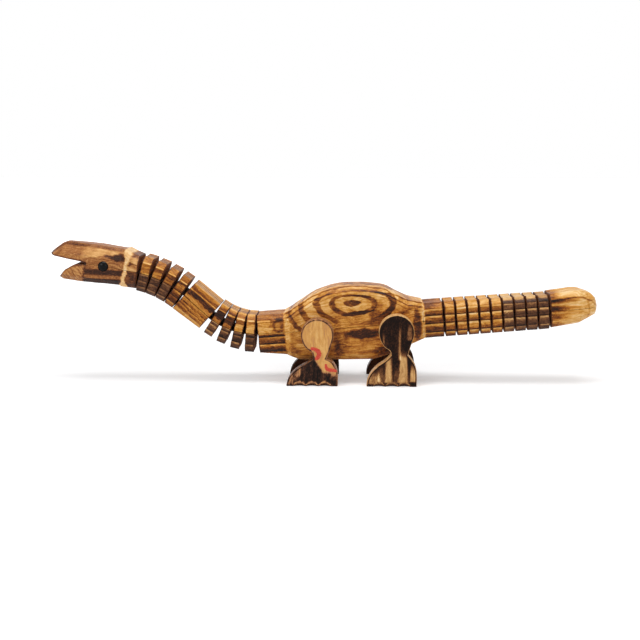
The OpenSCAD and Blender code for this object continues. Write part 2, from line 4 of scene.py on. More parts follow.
import bmesh
import bpy
from mathutils import Matrix, Vector, noise
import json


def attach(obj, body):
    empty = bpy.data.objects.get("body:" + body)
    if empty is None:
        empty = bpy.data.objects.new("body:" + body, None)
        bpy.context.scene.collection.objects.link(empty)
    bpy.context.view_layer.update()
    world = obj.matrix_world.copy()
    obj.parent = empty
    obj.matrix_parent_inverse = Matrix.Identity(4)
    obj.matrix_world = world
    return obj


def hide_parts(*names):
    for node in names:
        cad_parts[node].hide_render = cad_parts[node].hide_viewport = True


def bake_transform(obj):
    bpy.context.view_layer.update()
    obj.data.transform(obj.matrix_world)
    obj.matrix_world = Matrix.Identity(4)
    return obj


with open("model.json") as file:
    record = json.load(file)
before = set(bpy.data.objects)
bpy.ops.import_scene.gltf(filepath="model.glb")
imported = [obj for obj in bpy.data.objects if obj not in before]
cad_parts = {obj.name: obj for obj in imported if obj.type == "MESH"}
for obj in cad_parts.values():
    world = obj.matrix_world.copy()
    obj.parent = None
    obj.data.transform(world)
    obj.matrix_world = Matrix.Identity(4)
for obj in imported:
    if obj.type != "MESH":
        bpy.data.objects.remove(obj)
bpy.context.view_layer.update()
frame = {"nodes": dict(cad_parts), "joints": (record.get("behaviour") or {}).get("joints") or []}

# Body: pine, the thick middle of the one straight board the toy was carved from. Its back and
# belly are carved round, its edges bevelled, and stop cuts at both shoulders leave the roots of
# neck and tail standing.
mm = 0.001
knife_marks = 0.16
knife_seed = 7
noise.seed_set(knife_seed)  # the knife's unevenness is the same in each run
neck_root = 63.2
hinge_at = {j["child"]: Vector(j["pos_m"]) / mm for j in frame["joints"]}


def lay(hinge, towards_tail, board_x):
    """Matrix from the straight board to the toy, with board_x on the strip at hinge. All wood is
    drawn as it lay in the board, in mm from the middle of the body and of the strip, and laid
    where its body stands, so the grain runs on from piece to piece."""
    x = towards_tail.normalized()
    y = Vector((0, 1, 0))
    turn = Matrix((x, y, x.cross(y))).transposed().to_4x4()
    shift = Matrix.Translation(hinge) @ turn @ Matrix.Translation((-board_x, 0, 0))
    return Matrix.Scale(mm, 4) @ shift


laid = {"body": lay(hinge_at["neck_8"], hinge_at["tail_1"] - hinge_at["neck_8"], -neck_root)}


def board_ends(node, body):
    """Where a solid starts and ends along the board, and how tall it is at either end."""
    back = laid[body].inverted()
    points = [back @ v.co for v in frame["nodes"][node].data.vertices]
    start = min(p.x for p in points)
    end = max(p.x for p in points)
    tall = [max(abs(p.z) for p in points if abs(p.x - x) < 0.2) for x in (start, end)]
    return start, end, tall


def step(value, start, end):
    """0 before start, 1 after end, smooth between; start may be above end."""
    t = min(1.0, max(0.0, (value - start) / (end - start)))
    return t * t * (3 - 2 * t)


def along(x, line):
    """Height of a line at x, smooth through its listed points."""
    if x <= line[0][0]:
        return line[0][1]
    for k in range(len(line) - 1):
        (x0, v0), (x1, v1) = line[k], line[k + 1]
        if x <= x1:
            before = line[max(k - 1, 0)]
            after = line[min(k + 2, len(line) - 1)]
            m0 = (v1 - before[1]) / (x1 - before[0]) * (x1 - x0)
            m1 = (after[1] - v0) / (after[0] - x0) * (x1 - x0)
            t = (x - x0) / (x1 - x0)
            return ((2 * t ** 3 - 3 * t ** 2 + 1) * v0 + (t ** 3 - 2 * t ** 2 + t) * m0
                    + (3 * t ** 2 - 2 * t ** 3) * v1 + (t ** 3 - t ** 2) * m1)
    return line[-1][1]


def shared_out(keys, rows, swell):
    """Always rows points along the stretches between keys, each stretch a shallow bow."""
    share = rows // (len(keys) - 1)
    spare = rows - share * (len(keys) - 1)
    points = []
    for k, (a, b) in enumerate(zip(keys, keys[1:])):
        a, b = Vector(a), Vector(b)
        out = Vector((a.y - b.y, b.x - a.x)).normalized() * swell
        count = share + (spare if k == 0 else 0)
        points += [a.lerp(b, i / count) + out * 4 * i * (count - i) / count ** 2
                   for i in range(count)]
    return points


def section(half_width, low, high, bevel_in, bevel_down, side_flutes=(), top_flutes=(),
            groove=0.0, swell=0.0, bulge=0.0, lip=0.0, rows=20):
    """Half cross-section from the strip up the near side, over the top and down the far side.
    side_flutes are heights and top_flutes distances from the middle where a groove lies, and
    the lip hides the edge of the strip."""
    edge_soft = 0.45
    high = max(high, low + 0.3)
    foot = max(high - bevel_down, low + 0.1)
    crest = max(half_width - bevel_in, 0.3)
    side_keys = [(-half_width - bulge, low - lip),
                 *((-half_width + groove, z) for z in side_flutes if low + 1 < z < foot - 0.5),
                 (-half_width, foot)]
    top_keys = [(-crest, high), *((y, high - groove) for y in top_flutes if abs(y) < crest - 1),
                (crest, high)]
    near = [Vector((-half_width + 0.25, low))] + shared_out(side_keys, rows, swell)
    slope = Vector((bevel_in, bevel_down)).normalized() * min(edge_soft, 0.3 * bevel_down + 0.05)
    ridge = Vector(side_keys[-1])
    near += [ridge - Vector((0, slope.length)) if foot - low > 1 else ridge,
             ridge + Vector((0.12, -0.05)), ridge + slope]
    shoulder = Vector(top_keys[0])
    near += shared_out([ridge + slope, shoulder - slope], 6, swell * 0.4)[1:]
    near += [shoulder - slope, shoulder + Vector((0.05, -0.1))]
    top = [shoulder + Vector((min(edge_soft, crest * 0.3), 0))]
    top += shared_out(top_keys, 24, swell)[1:]
    far = [Vector((-p.x, p.y)) for p in reversed(near + [top[0]])]
    return near + top + far


def stations(x0, x1, spacing=0.6, worn=0.22):
    """Places for cross-sections from x0 to x1, with the worn saw edges at both ends."""
    soft = min(worn, (x1 - x0) * 0.2)
    count = max(2, round((x1 - x0 - 2 * soft) / spacing))
    inner = [x0 + soft + (x1 - x0 - 2 * soft) * k / count for k in range(count + 1)]
    return [x0, x0 + 0.3 * soft] + inner + [x1 - 0.3 * soft, x1]


def wear_in(points, depth):
    """A cross-section drawn in a little, for the worn edge at a saw cut."""
    middle = sum((p.y for p in points), 0.0) / len(points)
    wide = max(abs(p.x) for p in points)
    tall = max(abs(p.y - middle) for p in points)
    return [Vector((p.x * (1 - depth / wide), middle + (p.y - middle) * (1 - depth / tall)))
            for p in points]


def skin(mesh, rings, closed=(0, -1)):
    """Joins each ring of points to the next and gives back the faces that close the ends."""
    for a, b in zip(rings, rings[1:]):
        for k in range(len(a)):
            n = (k + 1) % len(a)
            mesh.faces.new((a[k], a[n], b[n], b[k]))
    return [mesh.faces.new(rings[end]) for end in closed]


def mesh_data(mesh, name):
    """The finished mesh, with its faces turned outwards."""
    bmesh.ops.recalc_face_normals(mesh, faces=mesh.faces)
    data = bpy.data.meshes.new(name)
    mesh.to_mesh(data)
    mesh.free()
    return data


def add_piece(data, *materials):
    """Puts a mesh in the scene under its own name, with its materials."""
    for material in materials:
        data.materials.append(material)
    piece = bpy.data.objects.new(data.name, data)
    bpy.context.scene.collection.objects.link(piece)
    return piece


def carve(name, xs, section_at, below=False):
    """Mesh lofted along the board through the cross-sections, in mm, with sawn ends."""
    mesh = bmesh.new()
    rings = []
    soft = xs[2] - xs[0]
    for k, x in enumerate(xs):
        points = section_at(x)
        if k in (0, len(xs) - 1):
            points = wear_in(points, soft)
        elif k in (1, len(xs) - 2):
            points = wear_in(points, 0.3 * soft)
        flip = -1 if below else 1
        rings.append([mesh.verts.new((x, p.x, flip * p.y)) for p in points])
    for end in skin(mesh, rings):
        end.material_index = 1
    return mesh_data(mesh, name)


def spot(p, x, z, rx, rz, soft=0.35, ragged=0.25, grain=0.25):
    """1 inside an oval on the side of the board, 0 outside, with a ragged scorched edge."""
    wander = noise.noise(Vector((p.x * grain, p.y * 0.1, p.z * grain)))
    away = math.hypot((p.x - x) / rx, (p.z - z) / rz) + ragged * wander
    return step(away, 1 + soft, 1 - soft)


def flute_light_and_shade(z, edges, dark, painted_highlight=0.10, line=0.22):
    """Extra darkness over flutes, painted light and shade: a painted highlight along the upper edge,
    painted shade growing towards the lower edge, and darker lines in the grooves at both edges.
    """
    for upper, lower in zip(edges, edges[1:]):
        if lower <= z <= upper:
            t = (upper - z) / (upper - lower)
            # painted shade towards the lower edge, less a painted highlight near the upper edge
            shade = dark * (t ** 1.4 - 0.35) - painted_highlight * step(t, 0.34, 0.12)
            return shade + line * max(step(t, 0.84, 0.97), step(t, 0.07, 0.0))
    return 0.0


def finish_wood(data, body, woods, wear_at, burn_and_light_at, rings_at=None, wobble=0.08, grain=None,
                place=None, sharp=32):
    """Paints the scorching, with the painted light and shade, on the mesh, keeps its place in the
    board and lays it in the toy.
    """
    laid_in = place or laid[body]
    board = [v.co.copy() for v in data.vertices]
    for layer, paint in (("grain", lambda p: grain @ p if grain else p),
                         ("figure", rings_at or (lambda p: (0, 0, 99)))):
        values = [c for p in board for c in paint(p)]
        data.attributes.new(layer, "FLOAT_VECTOR", "POINT").data.foreach_set("vector", values)
    for layer, paint in (("scorch_and_painted_light", burn_and_light_at), ("rim", wear_at)):
        values = [paint(p) for p in board]
        data.attributes.new(layer, "FLOAT", "POINT").data.foreach_set("value", values)
    for v, p in zip(data.vertices, board):
        v.co = laid_in @ (p + noise.noise_vector(p * knife_marks) * wobble)
    for face in data.polygons:
        face.use_smooth = face.material_index == 0
    data.update()
    mesh = bmesh.new()
    mesh.from_mesh(data)
    for edge in mesh.edges:
        if len(edge.link_faces) == 2:
            edge.smooth = edge.calc_face_angle(0) < math.radians(sharp)
    mesh.to_mesh(data)
    mesh.free()
    return add_piece(data, *woods)


def srgb(red, green, blue):
    """A paint-chart colour, 0 to 255, as the linear colour that the shader wants."""
    def linear(c):
        c /= 255
        return c / 12.92 if c <= 0.04045 else ((c + 0.055) / 1.055) ** 2.4
    return (linear(red), linear(green), linear(blue), 1)


def new_material(name):
    """A new material, its node tree and its shader."""
    material = bpy.data.materials.new(name)
    material.use_nodes = True
    return material, material.node_tree, material.node_tree.nodes["Principled BSDF"]


def plug(tree, node, inputs):
    """Gives a node its fixed inputs and its links."""
    for key, value in inputs.items():
        if isinstance(value, bpy.types.NodeSocket):
            tree.links.new(value, node.inputs[key])
        else:
            node.inputs[key].default_value = value


def wire(tree, kind, inputs=None, **settings):
    """Adds a node with its settings and inputs."""
    node = tree.nodes.new(kind)
    for key, value in settings.items():
        setattr(node, key, value)
    plug(tree, node, inputs or {})
    return node


def painted(tree, layer, output="Fac"):
    """A layer of values that finish_wood painted on the mesh."""
    return wire(tree, "ShaderNodeAttribute", attribute_name=layer).outputs[output]


def maths(tree, operation, a, b, clamp=False):
    node = wire(tree, "ShaderNodeMath", {0: a, 1: b}, operation=operation, use_clamp=clamp)
    return node.outputs[0]


def plus(tree, level, value, weight):
    """The level with a weighted share of the value on top."""
    return maths(tree, "ADD", level, maths(tree, "MULTIPLY", value, weight))


def spread(tree, value, low, high, to_low, to_high, kind="LINEAR", clamp=True):
    """Maps values between low and high to between to_low and to_high."""
    inputs = {"Value": value, "From Min": low, "From Max": high, "To Min": to_low,
              "To Max": to_high}
    node = wire(tree, "ShaderNodeMapRange", inputs, interpolation_type=kind, clamp=clamp)
    return node.outputs[0]


def ramp(tree, factor, *stops):
    """Colours between paint-chart colours, each given after its place from 0 to 1."""
    node = wire(tree, "ShaderNodeValToRGB", {0: factor})
    first, last = node.color_ramp.elements
    first.position, first.color = stops[0][0], srgb(*stops[0][1:])
    last.position, last.color = stops[-1][0], srgb(*stops[-1][1:])
    for position, *colour in stops[1:-1]:
        node.color_ramp.elements.new(position).color = srgb(*colour)
    return node.outputs[0]


def cloud(tree, vector, scale, detail, roughness=0.55, low=-1.0, high=1.0):
    """Noise over the board, stretched by scale, that mostly stays between low and high."""
    vector = wire(tree, "ShaderNodeVectorMath", {0: vector, 1: scale}, operation="MULTIPLY")
    inputs = {"Vector": vector.outputs[0], "Scale": 1.0, "Detail": detail,
              "Roughness": roughness}
    grey = wire(tree, "ShaderNodeTexNoise", inputs).outputs[0]
    return spread(tree, grey, 0.32, 0.68, low, high, clamp=False)


# From raw pine to charred pine, as the torch leaves it under clear gloss lacquer: golden where
# the flame passed quickly, greyish brown where it was held until the wood smoked
scorch_colours = ((0.0, 240, 206, 152), (0.12, 226, 176, 104), (0.27, 204, 142, 60),
                  (0.42, 168, 102, 36), (0.57, 118, 62, 22), (0.75, 64, 32, 15), (1.0, 17, 9, 6))
smoked_colours = ((0.0, 236, 202, 150), (0.16, 216, 170, 110), (0.3, 186, 138, 84),
                  (0.45, 142, 96, 58), (0.6, 102, 64, 39), (0.78, 66, 38, 23), (1.0, 22, 11, 7))
line_pitch = 2.6


def pine(name, colours, bands=0.09, streaks=0.12, mottle=0.05, rim_level=0.80, coat=0.10):
    """Lacquered pine. The attribute painted on the mesh says how dark it is, from scorching and from
    painted light and shade, and the grain adds to it.
    The figure attribute holds the growth-ring number, how strong the rings are, and how deep
    under the carved outline the surface lies, which shows there as fine contour lines."""
    material, tree, shader = new_material(name)
    place = painted(tree, "grain", "Vector")
    scorch_and_painted_light = painted(tree, "scorch_and_painted_light")
    rim = painted(tree, "rim")
    figure = wire(tree, "ShaderNodeSeparateXYZ", {0: painted(tree, "figure", "Vector")}).outputs
    sway = cloud(tree, place, (0.045, 0.05, 0.05), 2, low=-2.2, high=2.2)
    sway = wire(tree, "ShaderNodeCombineXYZ", {"Y": sway, "Z": sway}).outputs[0]
    fibre = wire(tree, "ShaderNodeVectorMath", {0: place, 1: sway}, operation="ADD").outputs[0]
    wide = cloud(tree, fibre, (0.022, 0.26, 0.32), 2)
    fine = cloud(tree, fibre, (0.055, 0.75, 0.95), 3, 0.6)
    hair = cloud(tree, fibre, (0.22, 2.6, 3.1), 3, 0.65)
    flame = cloud(tree, place, (0.30, 0.34, 0.34), 4, 0.65)
    speck = cloud(tree, place, (0.9, 1.2, 1.2), 3, 0.7)
    level = scorch_and_painted_light
    for value, weight in ((wide, bands), (fine, streaks), (hair, 0.05), (flame, mottle)):
        level = plus(tree, level, value, weight)
    level = plus(tree, level, speck, spread(tree, scorch_and_painted_light, 0.2, 0.6, 0.02, 0.13))
    wander = cloud(tree, place, (0.09, 0.10, 0.13), 3, low=-0.11, high=0.11)
    ring = maths(tree, "MULTIPLY", maths(tree, "ADD", figure[0], wander), math.tau)
    ring = plus(tree, maths(tree, "SINE", ring, 0.0), flame, 0.2)
    ring = spread(tree, ring, 0.0, 0.6, -0.07, 0.48, "SMOOTHSTEP")
    level = plus(tree, level, ring, figure[1])
    depth = plus(tree, figure[2], wander, 4.0)
    line = maths(tree, "SINE", maths(tree, "MULTIPLY", depth, math.tau / line_pitch), 0.0)
    line = spread(tree, line, 0.1, 0.9, -0.03, 0.24, "SMOOTHSTEP")
    level = plus(tree, level, line, spread(tree, figure[2], 7.0, 4.5, 0.0, 1.0))
    eaten = plus(tree, rim, flame, 0.3)
    eaten = spread(tree, eaten, 0.25, 0.8, 0.0, 1.0)
    level = wire(tree, "ShaderNodeMix", {0: eaten, 2: level, 3: rim_level}).outputs[0]
    level = maths(tree, "ADD", level, 0.0, clamp=True)
    relief = plus(tree, fine, hair, 0.5)
    bump = wire(tree, "ShaderNodeBump", {"Height": relief, "Strength": 0.4, "Distance": 0.0002})
    plug(tree, shader, {"Base Color": ramp(tree, level, *colours), "Normal": bump.outputs[0],
                        "Roughness": spread(tree, fine, -1.0, 1.0, 0.32, 0.48),
                        "Specular IOR Level": 0.8 * coat, "Coat Weight": coat,
                        "Coat Roughness": 0.12})
    return material


board_pine = pine("board pine", scorch_colours)
smoked_pine = pine("smoked board pine", smoked_colours, rim_level=0.86)

# The sawn end grain: charred by the torch in the narrow cut and never lacquered
saw_face, tree, shader = new_material("charred saw face")
place = painted(tree, "grain", "Vector")
marks = cloud(tree, place, (0.3, 0.25, 2.4), 3, 0.6)
heart = wire(tree, "ShaderNodeVectorMath", {0: place, 1: (0, 4, 34)}, operation="ADD").outputs[0]
heart = wire(tree, "ShaderNodeVectorMath", {0: heart, 1: (0, 1, 1)}, operation="MULTIPLY")
heart = wire(tree, "ShaderNodeVectorMath", {0: heart.outputs[0]}, operation="LENGTH")
end_grain = maths(tree, "SINE", maths(tree, "MULTIPLY", heart.outputs["Value"], 3.2), 0.0)
dark = plus(tree, plus(tree, 0.5, marks, 0.22), end_grain, 0.12)
brown = ramp(tree, dark, (0.1, 70, 38, 22), (0.5, 138, 82, 48), (0.95, 186, 128, 84))
plug(tree, shader, {"Base Color": brown, "Roughness": 0.8, "Specular IOR Level": 0.1})
board_woods = (board_pine, saw_face)
smoked_woods = (smoked_pine, saw_face)


def saw_wear(x0, x1, reach=0.5):
    """Where the saw's rims are worn, on both ends of a piece."""
    return lambda p: step(min(p.x - x0, x1 - p.x), reach, 0.0)


strip_half = 0.42
seam_lip = 0.32
half_board = 14.0
half_body = 15.5
shoulder = -44.0
rump = 46.8
bevel = 4.0
facet_start = 40.3
facet_depth = 1.9
root_bands = (-0.1, -2.3, -7.2, -12.6)
tail_bands = (7.6, 3.2, -2.2, -7.7, -11.4)
back_line = [(-44, 12.2), (-40.9, 13.4), (-34.3, 17.2), (-24.2, 22.6), (-18, 24.7),
             (-11.9, 26.2), (-6.2, 26.8), (0, 26.9), (14, 25.4), (23.4, 23.0), (30, 19.0),
             (36.5, 15.3), (42.1, 13.5), (46.8, 12.4)]
belly_line = [(-44, 15.9), (-35.2, 19.3), (-16.7, 20.8), (5.6, 22.4), (14, 22.4), (28.1, 18.4),
              (38.8, 14.3), (46.8, 11.9)]
neck_top_flutes = (-6, -1.5, 3.5)
tail_top_flutes = (-4, 4)
tail_side_flute = {"upper": (3.2,), "lower": (2.2,)}
ring_centre = Vector((0.2, -15.5, 16.3))
ring_pitch = 10.0

# Where the torch lingered on the body's sides, or passed quickly, and where painted shade of the
# legs lies beside them: how much darker, the share of that on the far side, then the middle and
# the half-size of the place, how soft and how ragged
body_level = {"upper": 0.27, "lower": 0.33}
body_scorch_and_leg_shade = {
    # The places at x 16.5 beside the rear leg and at x -10 beside the front leg are painted shade of
    # the legs
    "upper": ((0.28, 0.7, 16.5, 6.5, 5.0, 8.5, 0.6, 0.5), (0.14, 0.7, -2.0, 7.6, 12, 4.2, 0.6, 0.4),
              (-0.10, 1, -32.0, 19.0, 14, 7, 0.6, 0.4), (-0.12, 1, 28.5, 17.5, 5, 5, 0.6, 0.4),
              (0.10, 0.7, -42.5, 1.0, 4, 5, 0.6, 0.4), (0.12, 0.7, -10.0, 2.0, 2.4, 4, 0.7, 0.4),
              (0.10, 0.7, 34.5, 11.0, 8, 7, 0.5, 0.9, 0.6), (0.14, 1, -37, 12.0, 5, 5, 0.6, 0.6),
              (0.42, 1, 42.6, -1.5, 2.6, 9.5, 0.3, 0.25)),
    # The places at x 22 by the rear leg and at x -10.5 beside the front leg are painted shade of the
    # legs
    "lower": ((0.50, 0.7, 6.5, -4.7, 11.5, 3.3, 0.3, 0.35), (0.16, 1, -9.0, -13.5, 6, 5, 0.6, 0.7),
              (0.32, 1, 22.0, -16.0, 9, 4.5, 0.6, 0.4), (0.16, 0.7, -10.5, -9.0, 2.4, 9, 0.7, 0.4),
              (0.16, 1, -42.0, -12.0, 5, 5, 0.6, 0.6), (0.42, 1, 42.6, -1.5, 2.6, 9.5, 0.3, 0.25)),
}


def tail_cut(half, height, bevel_down, rows):
    """Cross-section of the board towards the tail, with a flute along the side of each half."""
    return section(half_board, strip_half, height, bevel, bevel_down, tail_side_flute[half],
                   tail_top_flutes, groove=0.6, swell=0.4, bulge=0.35, lip=seam_lip, rows=rows)


def growth_ring(p):
    """Number of the growth ring that comes to the surface here; the heart is long and flat."""
    away = p - ring_centre
    tall = 0.36 if away.z > 0 else 0.62
    long = 1.22 if away.x > 0 else 1.0
    sheer = away.z + 0.05 * away.x
    return math.hypot(away.x / long, away.y / 1.3, sheer / tall) / ring_pitch


for half in ("upper", "lower"):
    below = half == "lower"
    start, end, tall = board_ends(f"body_{half}", "body")
    line = belly_line if below else back_line

    def body_section(x):
        if x <= shoulder:
            height = tall[0] + (0.14 * (x - start) if below else 0)
            return section(half_board, strip_half, height, bevel, bevel,
                           (2.3, 7.2) if below else (), neck_top_flutes, groove=0.4, swell=0.15,
                           lip=seam_lip, rows=30)
        if x >= rump:
            return tail_cut(half, tall[1], bevel if below else 3.4, 30)
        rise = abs(along(x + 0.5, line) - along(x - 0.5, line))
        drawn_in = 1.5 * step(x - shoulder, 3.2, 0.0) + 0.5 * step(rump - x, 0.5, 0.0)
        drawn_in += facet_depth * max(0, x - facet_start) / (rump - facet_start)
        return section(half_body - drawn_in, strip_half, along(x, line), bevel,
                       bevel * math.hypot(1, rise), swell=0.06, lip=seam_lip, rows=30)

    def body_burn_and_painted_light(p):
        near = p.y < 0
        if p.x < shoulder:
            if below:
                # Below the strip: flutes with painted light and shade, and a lighter lowest edge, a
                # painted highlight
                return 0.60 + flute_light_and_shade(p.z, root_bands, 0.42, 0.24) - 0.12 * step(p.z, -12.4, -13)
            burnt = spot(p, -48.2, 3.8, 4.4, 4.8, ragged=0.7, grain=0.5)
            burnt -= 0.7 * spot(p, -48.6, 4.4, 1.8, 2.4, ragged=0.6)
            level = 0.27 + 0.34 * max(0.0, burnt) * (1.0 if near else 0.7)
            level += 0.14 * step(p.z, 6.6, 7.4) + 0.20 * spot(p, -46.5, 9.0, 3.5, 1.2)
            # A painted highlight: lighter along the edge where the side meets the bevel
            return level - 0.24 * step(abs(p.z - 8.1), 0.5, 0.2)
        if p.x > rump:
            if p.z > tail_bands[0]:
                return 0.42 + 0.16 * step(p.x, 58, 50)
            # Flutes with painted light and shade
            return 0.56 + flute_light_and_shade(p.z, tail_bands, 0.40, 0.24)
        level = body_level[half]
        # Scorched places, and painted shade of the legs beside them
        for darker, far_share, *place in body_scorch_and_leg_shade[half]:
            level += darker * (1.0 if near else far_share) * spot(p, *place)
        level -= 0.16 * step(abs(p.x - shoulder - 1.5), 2.5, 0.8)
        return level - 0.22 * step(p.x, 45.2, 46.2)

    def body_rings(p):
        if not shoulder < p.x < rump:
            return 0, 0, 99
        inside = step(p.x, shoulder, shoulder + 5) * step(p.x, rump - 6, rump - 16)
        strong = 0.62 + 0.35 * step(p.x, -8, 12) - 0.5 * step(p.x, 26, 32)
        strong *= 1 - 0.5 * step(p.z, 20, 23)
        strong *= 1 - 0.6 * spot(p, 13.5, 14.2, 6.5, 3.8, soft=0.5, ragged=0.9, grain=0.5)
        under_heart = step(p.z, 8.5, 5.0) * step(p.x, -14, -8) * step(p.x, 26, 18)
        strong *= 0.15 if below else 1 - 0.75 * under_heart
        return growth_ring(p) - 0.02, inside * strong, 99 if below else along(p.x, line) - p.z

    cuts = [x for x in stations(start, end, 0.8)
            if min(abs(x - shoulder), abs(x - rump), abs(x - facet_start)) > 0.4]
    cuts = sorted(cuts + [shoulder, shoulder + 0.15, facet_start, rump - 0.15, rump])
    data = carve(f"body_{half}_wood", cuts, body_section, below)
    piece = finish_wood(data, "body", board_woods, saw_wear(start, end), body_burn_and_painted_light, body_rings,
                        wobble=0.16)
    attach(piece, "body")
    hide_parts(f"body_{half}")

# Neck: the same board, sawn down to the strip from above and from below with a cut of about
# 2 mm, so that ten cuts let it bend. Each piece has two halves with bevelled long edges, plain
# sides above the strip and carved flutes below it. The torch darkened every sawn edge.
neck_order = ["neck_8", "neck_7", "neck_6", "neck_5", "neck_long",
              "neck_4", "neck_3", "neck_2", "neck_1", "head"]
cut_at = {"neck_8": -neck_root}
for name, beyond in zip(neck_order, neck_order[1:]):
    run = hinge_at[name] - hinge_at[beyond]
    laid[name] = lay(hinge_at[name], run, cut_at[name])
    cut_at[beyond] = cut_at[name] - run.length
last = (hinge_at["neck_1"] - hinge_at["head"]).normalized()
before = (hinge_at["neck_2"] - hinge_at["neck_1"]).normalized()
laid["head"] = lay(hinge_at["head"], 2 * last.dot(before) * last - before, cut_at["head"])

# How dark: side, upper part of the side and where it starts, top, lighter in part as a painted
# reflection on the gloss, and below the strip
neck_burn_and_sheen = {
    "neck_8": (0.26, 0.46, 6.4, 0.20, 0.74), "neck_7": (0.28, 0.54, 5.8, 0.22, 0.76),
    "neck_6": (0.46, 0.78, 2.6, 0.20, 0.72), "neck_5": (0.44, 0.82, 3.0, 0.20, 0.62),
    "neck_long": (0.34, 0.72, 3.6, 0.22, 0.47), "neck_4": (0.44, 0.70, 4.6, 0.40, 0.56),
    "neck_3": (0.44, 0.62, 4.2, 0.38, 0.66), "neck_2": (0.36, 0.52, 5.0, 0.38, 0.70),
    "neck_1": (0.36, 0.50, 4.6, 0.34, 0.73),
}
for name, (side, high_side, from_z, top, under) in neck_burn_and_sheen.items():
    for half in ("upper", "lower"):
        below = half == "lower"
        start, end, tall = board_ends(f"{name}_{half}", name)

        def height(x):
            return tall[0] + (tall[1] - tall[0]) * (x - start) / (end - start)

        def neck_section(x):
            return section(half_board, strip_half, height(x), bevel, bevel,
                           (2.3, 7.0) if below else (), neck_top_flutes, groove=0.4,
                           swell=0.22 if below else 0.12, lip=0.22, rows=22)

        def neck_burnt_and_lit(p):
            crest = height(p.x)
            ragged = 0.9 * noise.noise(Vector((p.x * 0.35, 3.1 + p.y * 0.05, 0)))
            # Below the strip the flutes carry painted light and shade
            if p.z < 0:
                if name == "neck_long":
                    edges = (-0.1, -3.2, -5.6, -8.2, -13)
                    wavy = p.z + 0.4 * ragged
                    return under + flute_light_and_shade(wavy, edges, 0.22, line=0.16) - 0.14 * step(
                        -p.z, crest - 3.6, crest - 2.8)
                if name in ("neck_5", "neck_6", "neck_7", "neck_8"):
                    return under + flute_light_and_shade(p.z, (-0.1, -2.3, -7.0, -13), 0.26, 0.24, 0.1)
                return under + flute_light_and_shade(p.z, (-0.1, -4.4, -8.6, -13), 0.20, 0.16, 0.1)
            upper_part = step(p.z, from_z + 1.6 * ragged - 0.5, from_z + 1.6 * ragged + 0.2)
            level = side + (high_side - side) * upper_part
            if crest - 3.8 < p.z:
                # The bevel and the top are kept light partly as a painted reflection on the gloss
                bevel_tone_and_sheen = 0.54 if name in ("neck_long", "neck_5", "neck_6") else 0.42
                level = bevel_tone_and_sheen + 0.5 * (top - bevel_tone_and_sheen) * step(p.z, crest - 3, crest - 1)
            # A painted highlight: lighter along the edge where the side meets the bevel
            level -= 0.34 * step(abs(p.z - crest + 3.8), 0.5, 0.2)
            if p.z > crest - 0.8:
                stripe = min(abs(p.y - y) for y in neck_top_flutes)
                level = top + 0.44 * step(stripe, 1.3, 0.6)
            return level

        data = carve(f"{name}_{half}_wood", stations(start, end), neck_section, below)
        smoked = below and name not in ("neck_long", "neck_4")
        piece = finish_wood(data, name, smoked_woods if smoked else board_woods,
                            saw_wear(start, end), neck_burnt_and_lit)
        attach(piece, name)
        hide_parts(f"{name}_{half}")

# Head: pine, carved from the end of the board. A collar is left behind the head, the top edges
# have wide bevels, and the mouth is a fixed wedge sawn out along the strip.
head_face = cut_at["head"] - 0.9
head_length = 59.6
chin_length = 51.4
mouth_corner = 34.0
collar = 9.6
head_half = 13.1
snout_half = 7.0
crown = [(0, 10.4), (4.8, 11.6), (9.6, 13.2), (11, 12.9), (29.8, 12.75), (50.1, 11.3),
         (53, 9.7), (57.2, 5.5), (59.3, 3.3), (59.6, 2.0)]
gape = [(0, 0), (34.0, 0), (57.2, 0.2), (58.7, 0.55), (59.6, 1.5)]
jaw_top = [(0, 0), (34.0, 0), (43.2, 2.7), (47.8, 6.4), (51.4, 12.0)]
jaw_bottom = [(0, 11.0), (9.6, 11.4), (11, 10.9), (39, 13.1), (49.9, 13.7), (51.1, 13.3),
              (51.4, 12.5)]
head_colours = ((0.0, 240, 206, 156), (0.14, 222, 174, 112), (0.28, 196, 142, 82),
                (0.42, 162, 104, 56), (0.57, 116, 66, 34), (0.75, 66, 35, 20), (1.0, 18, 10, 7))
head_pine = pine("head pine", head_colours, bands=0.05, streaks=0.09, mottle=0.03)


def on_line(x, line):
    """Height of a line of straight stretches at x."""
    for (x0, v0), (x1, v1) in zip(line, line[1:]):
        if x <= x1:
            return v0 + (v1 - v0) * max(0, x - x0) / (x1 - x0)
    return line[-1][1]


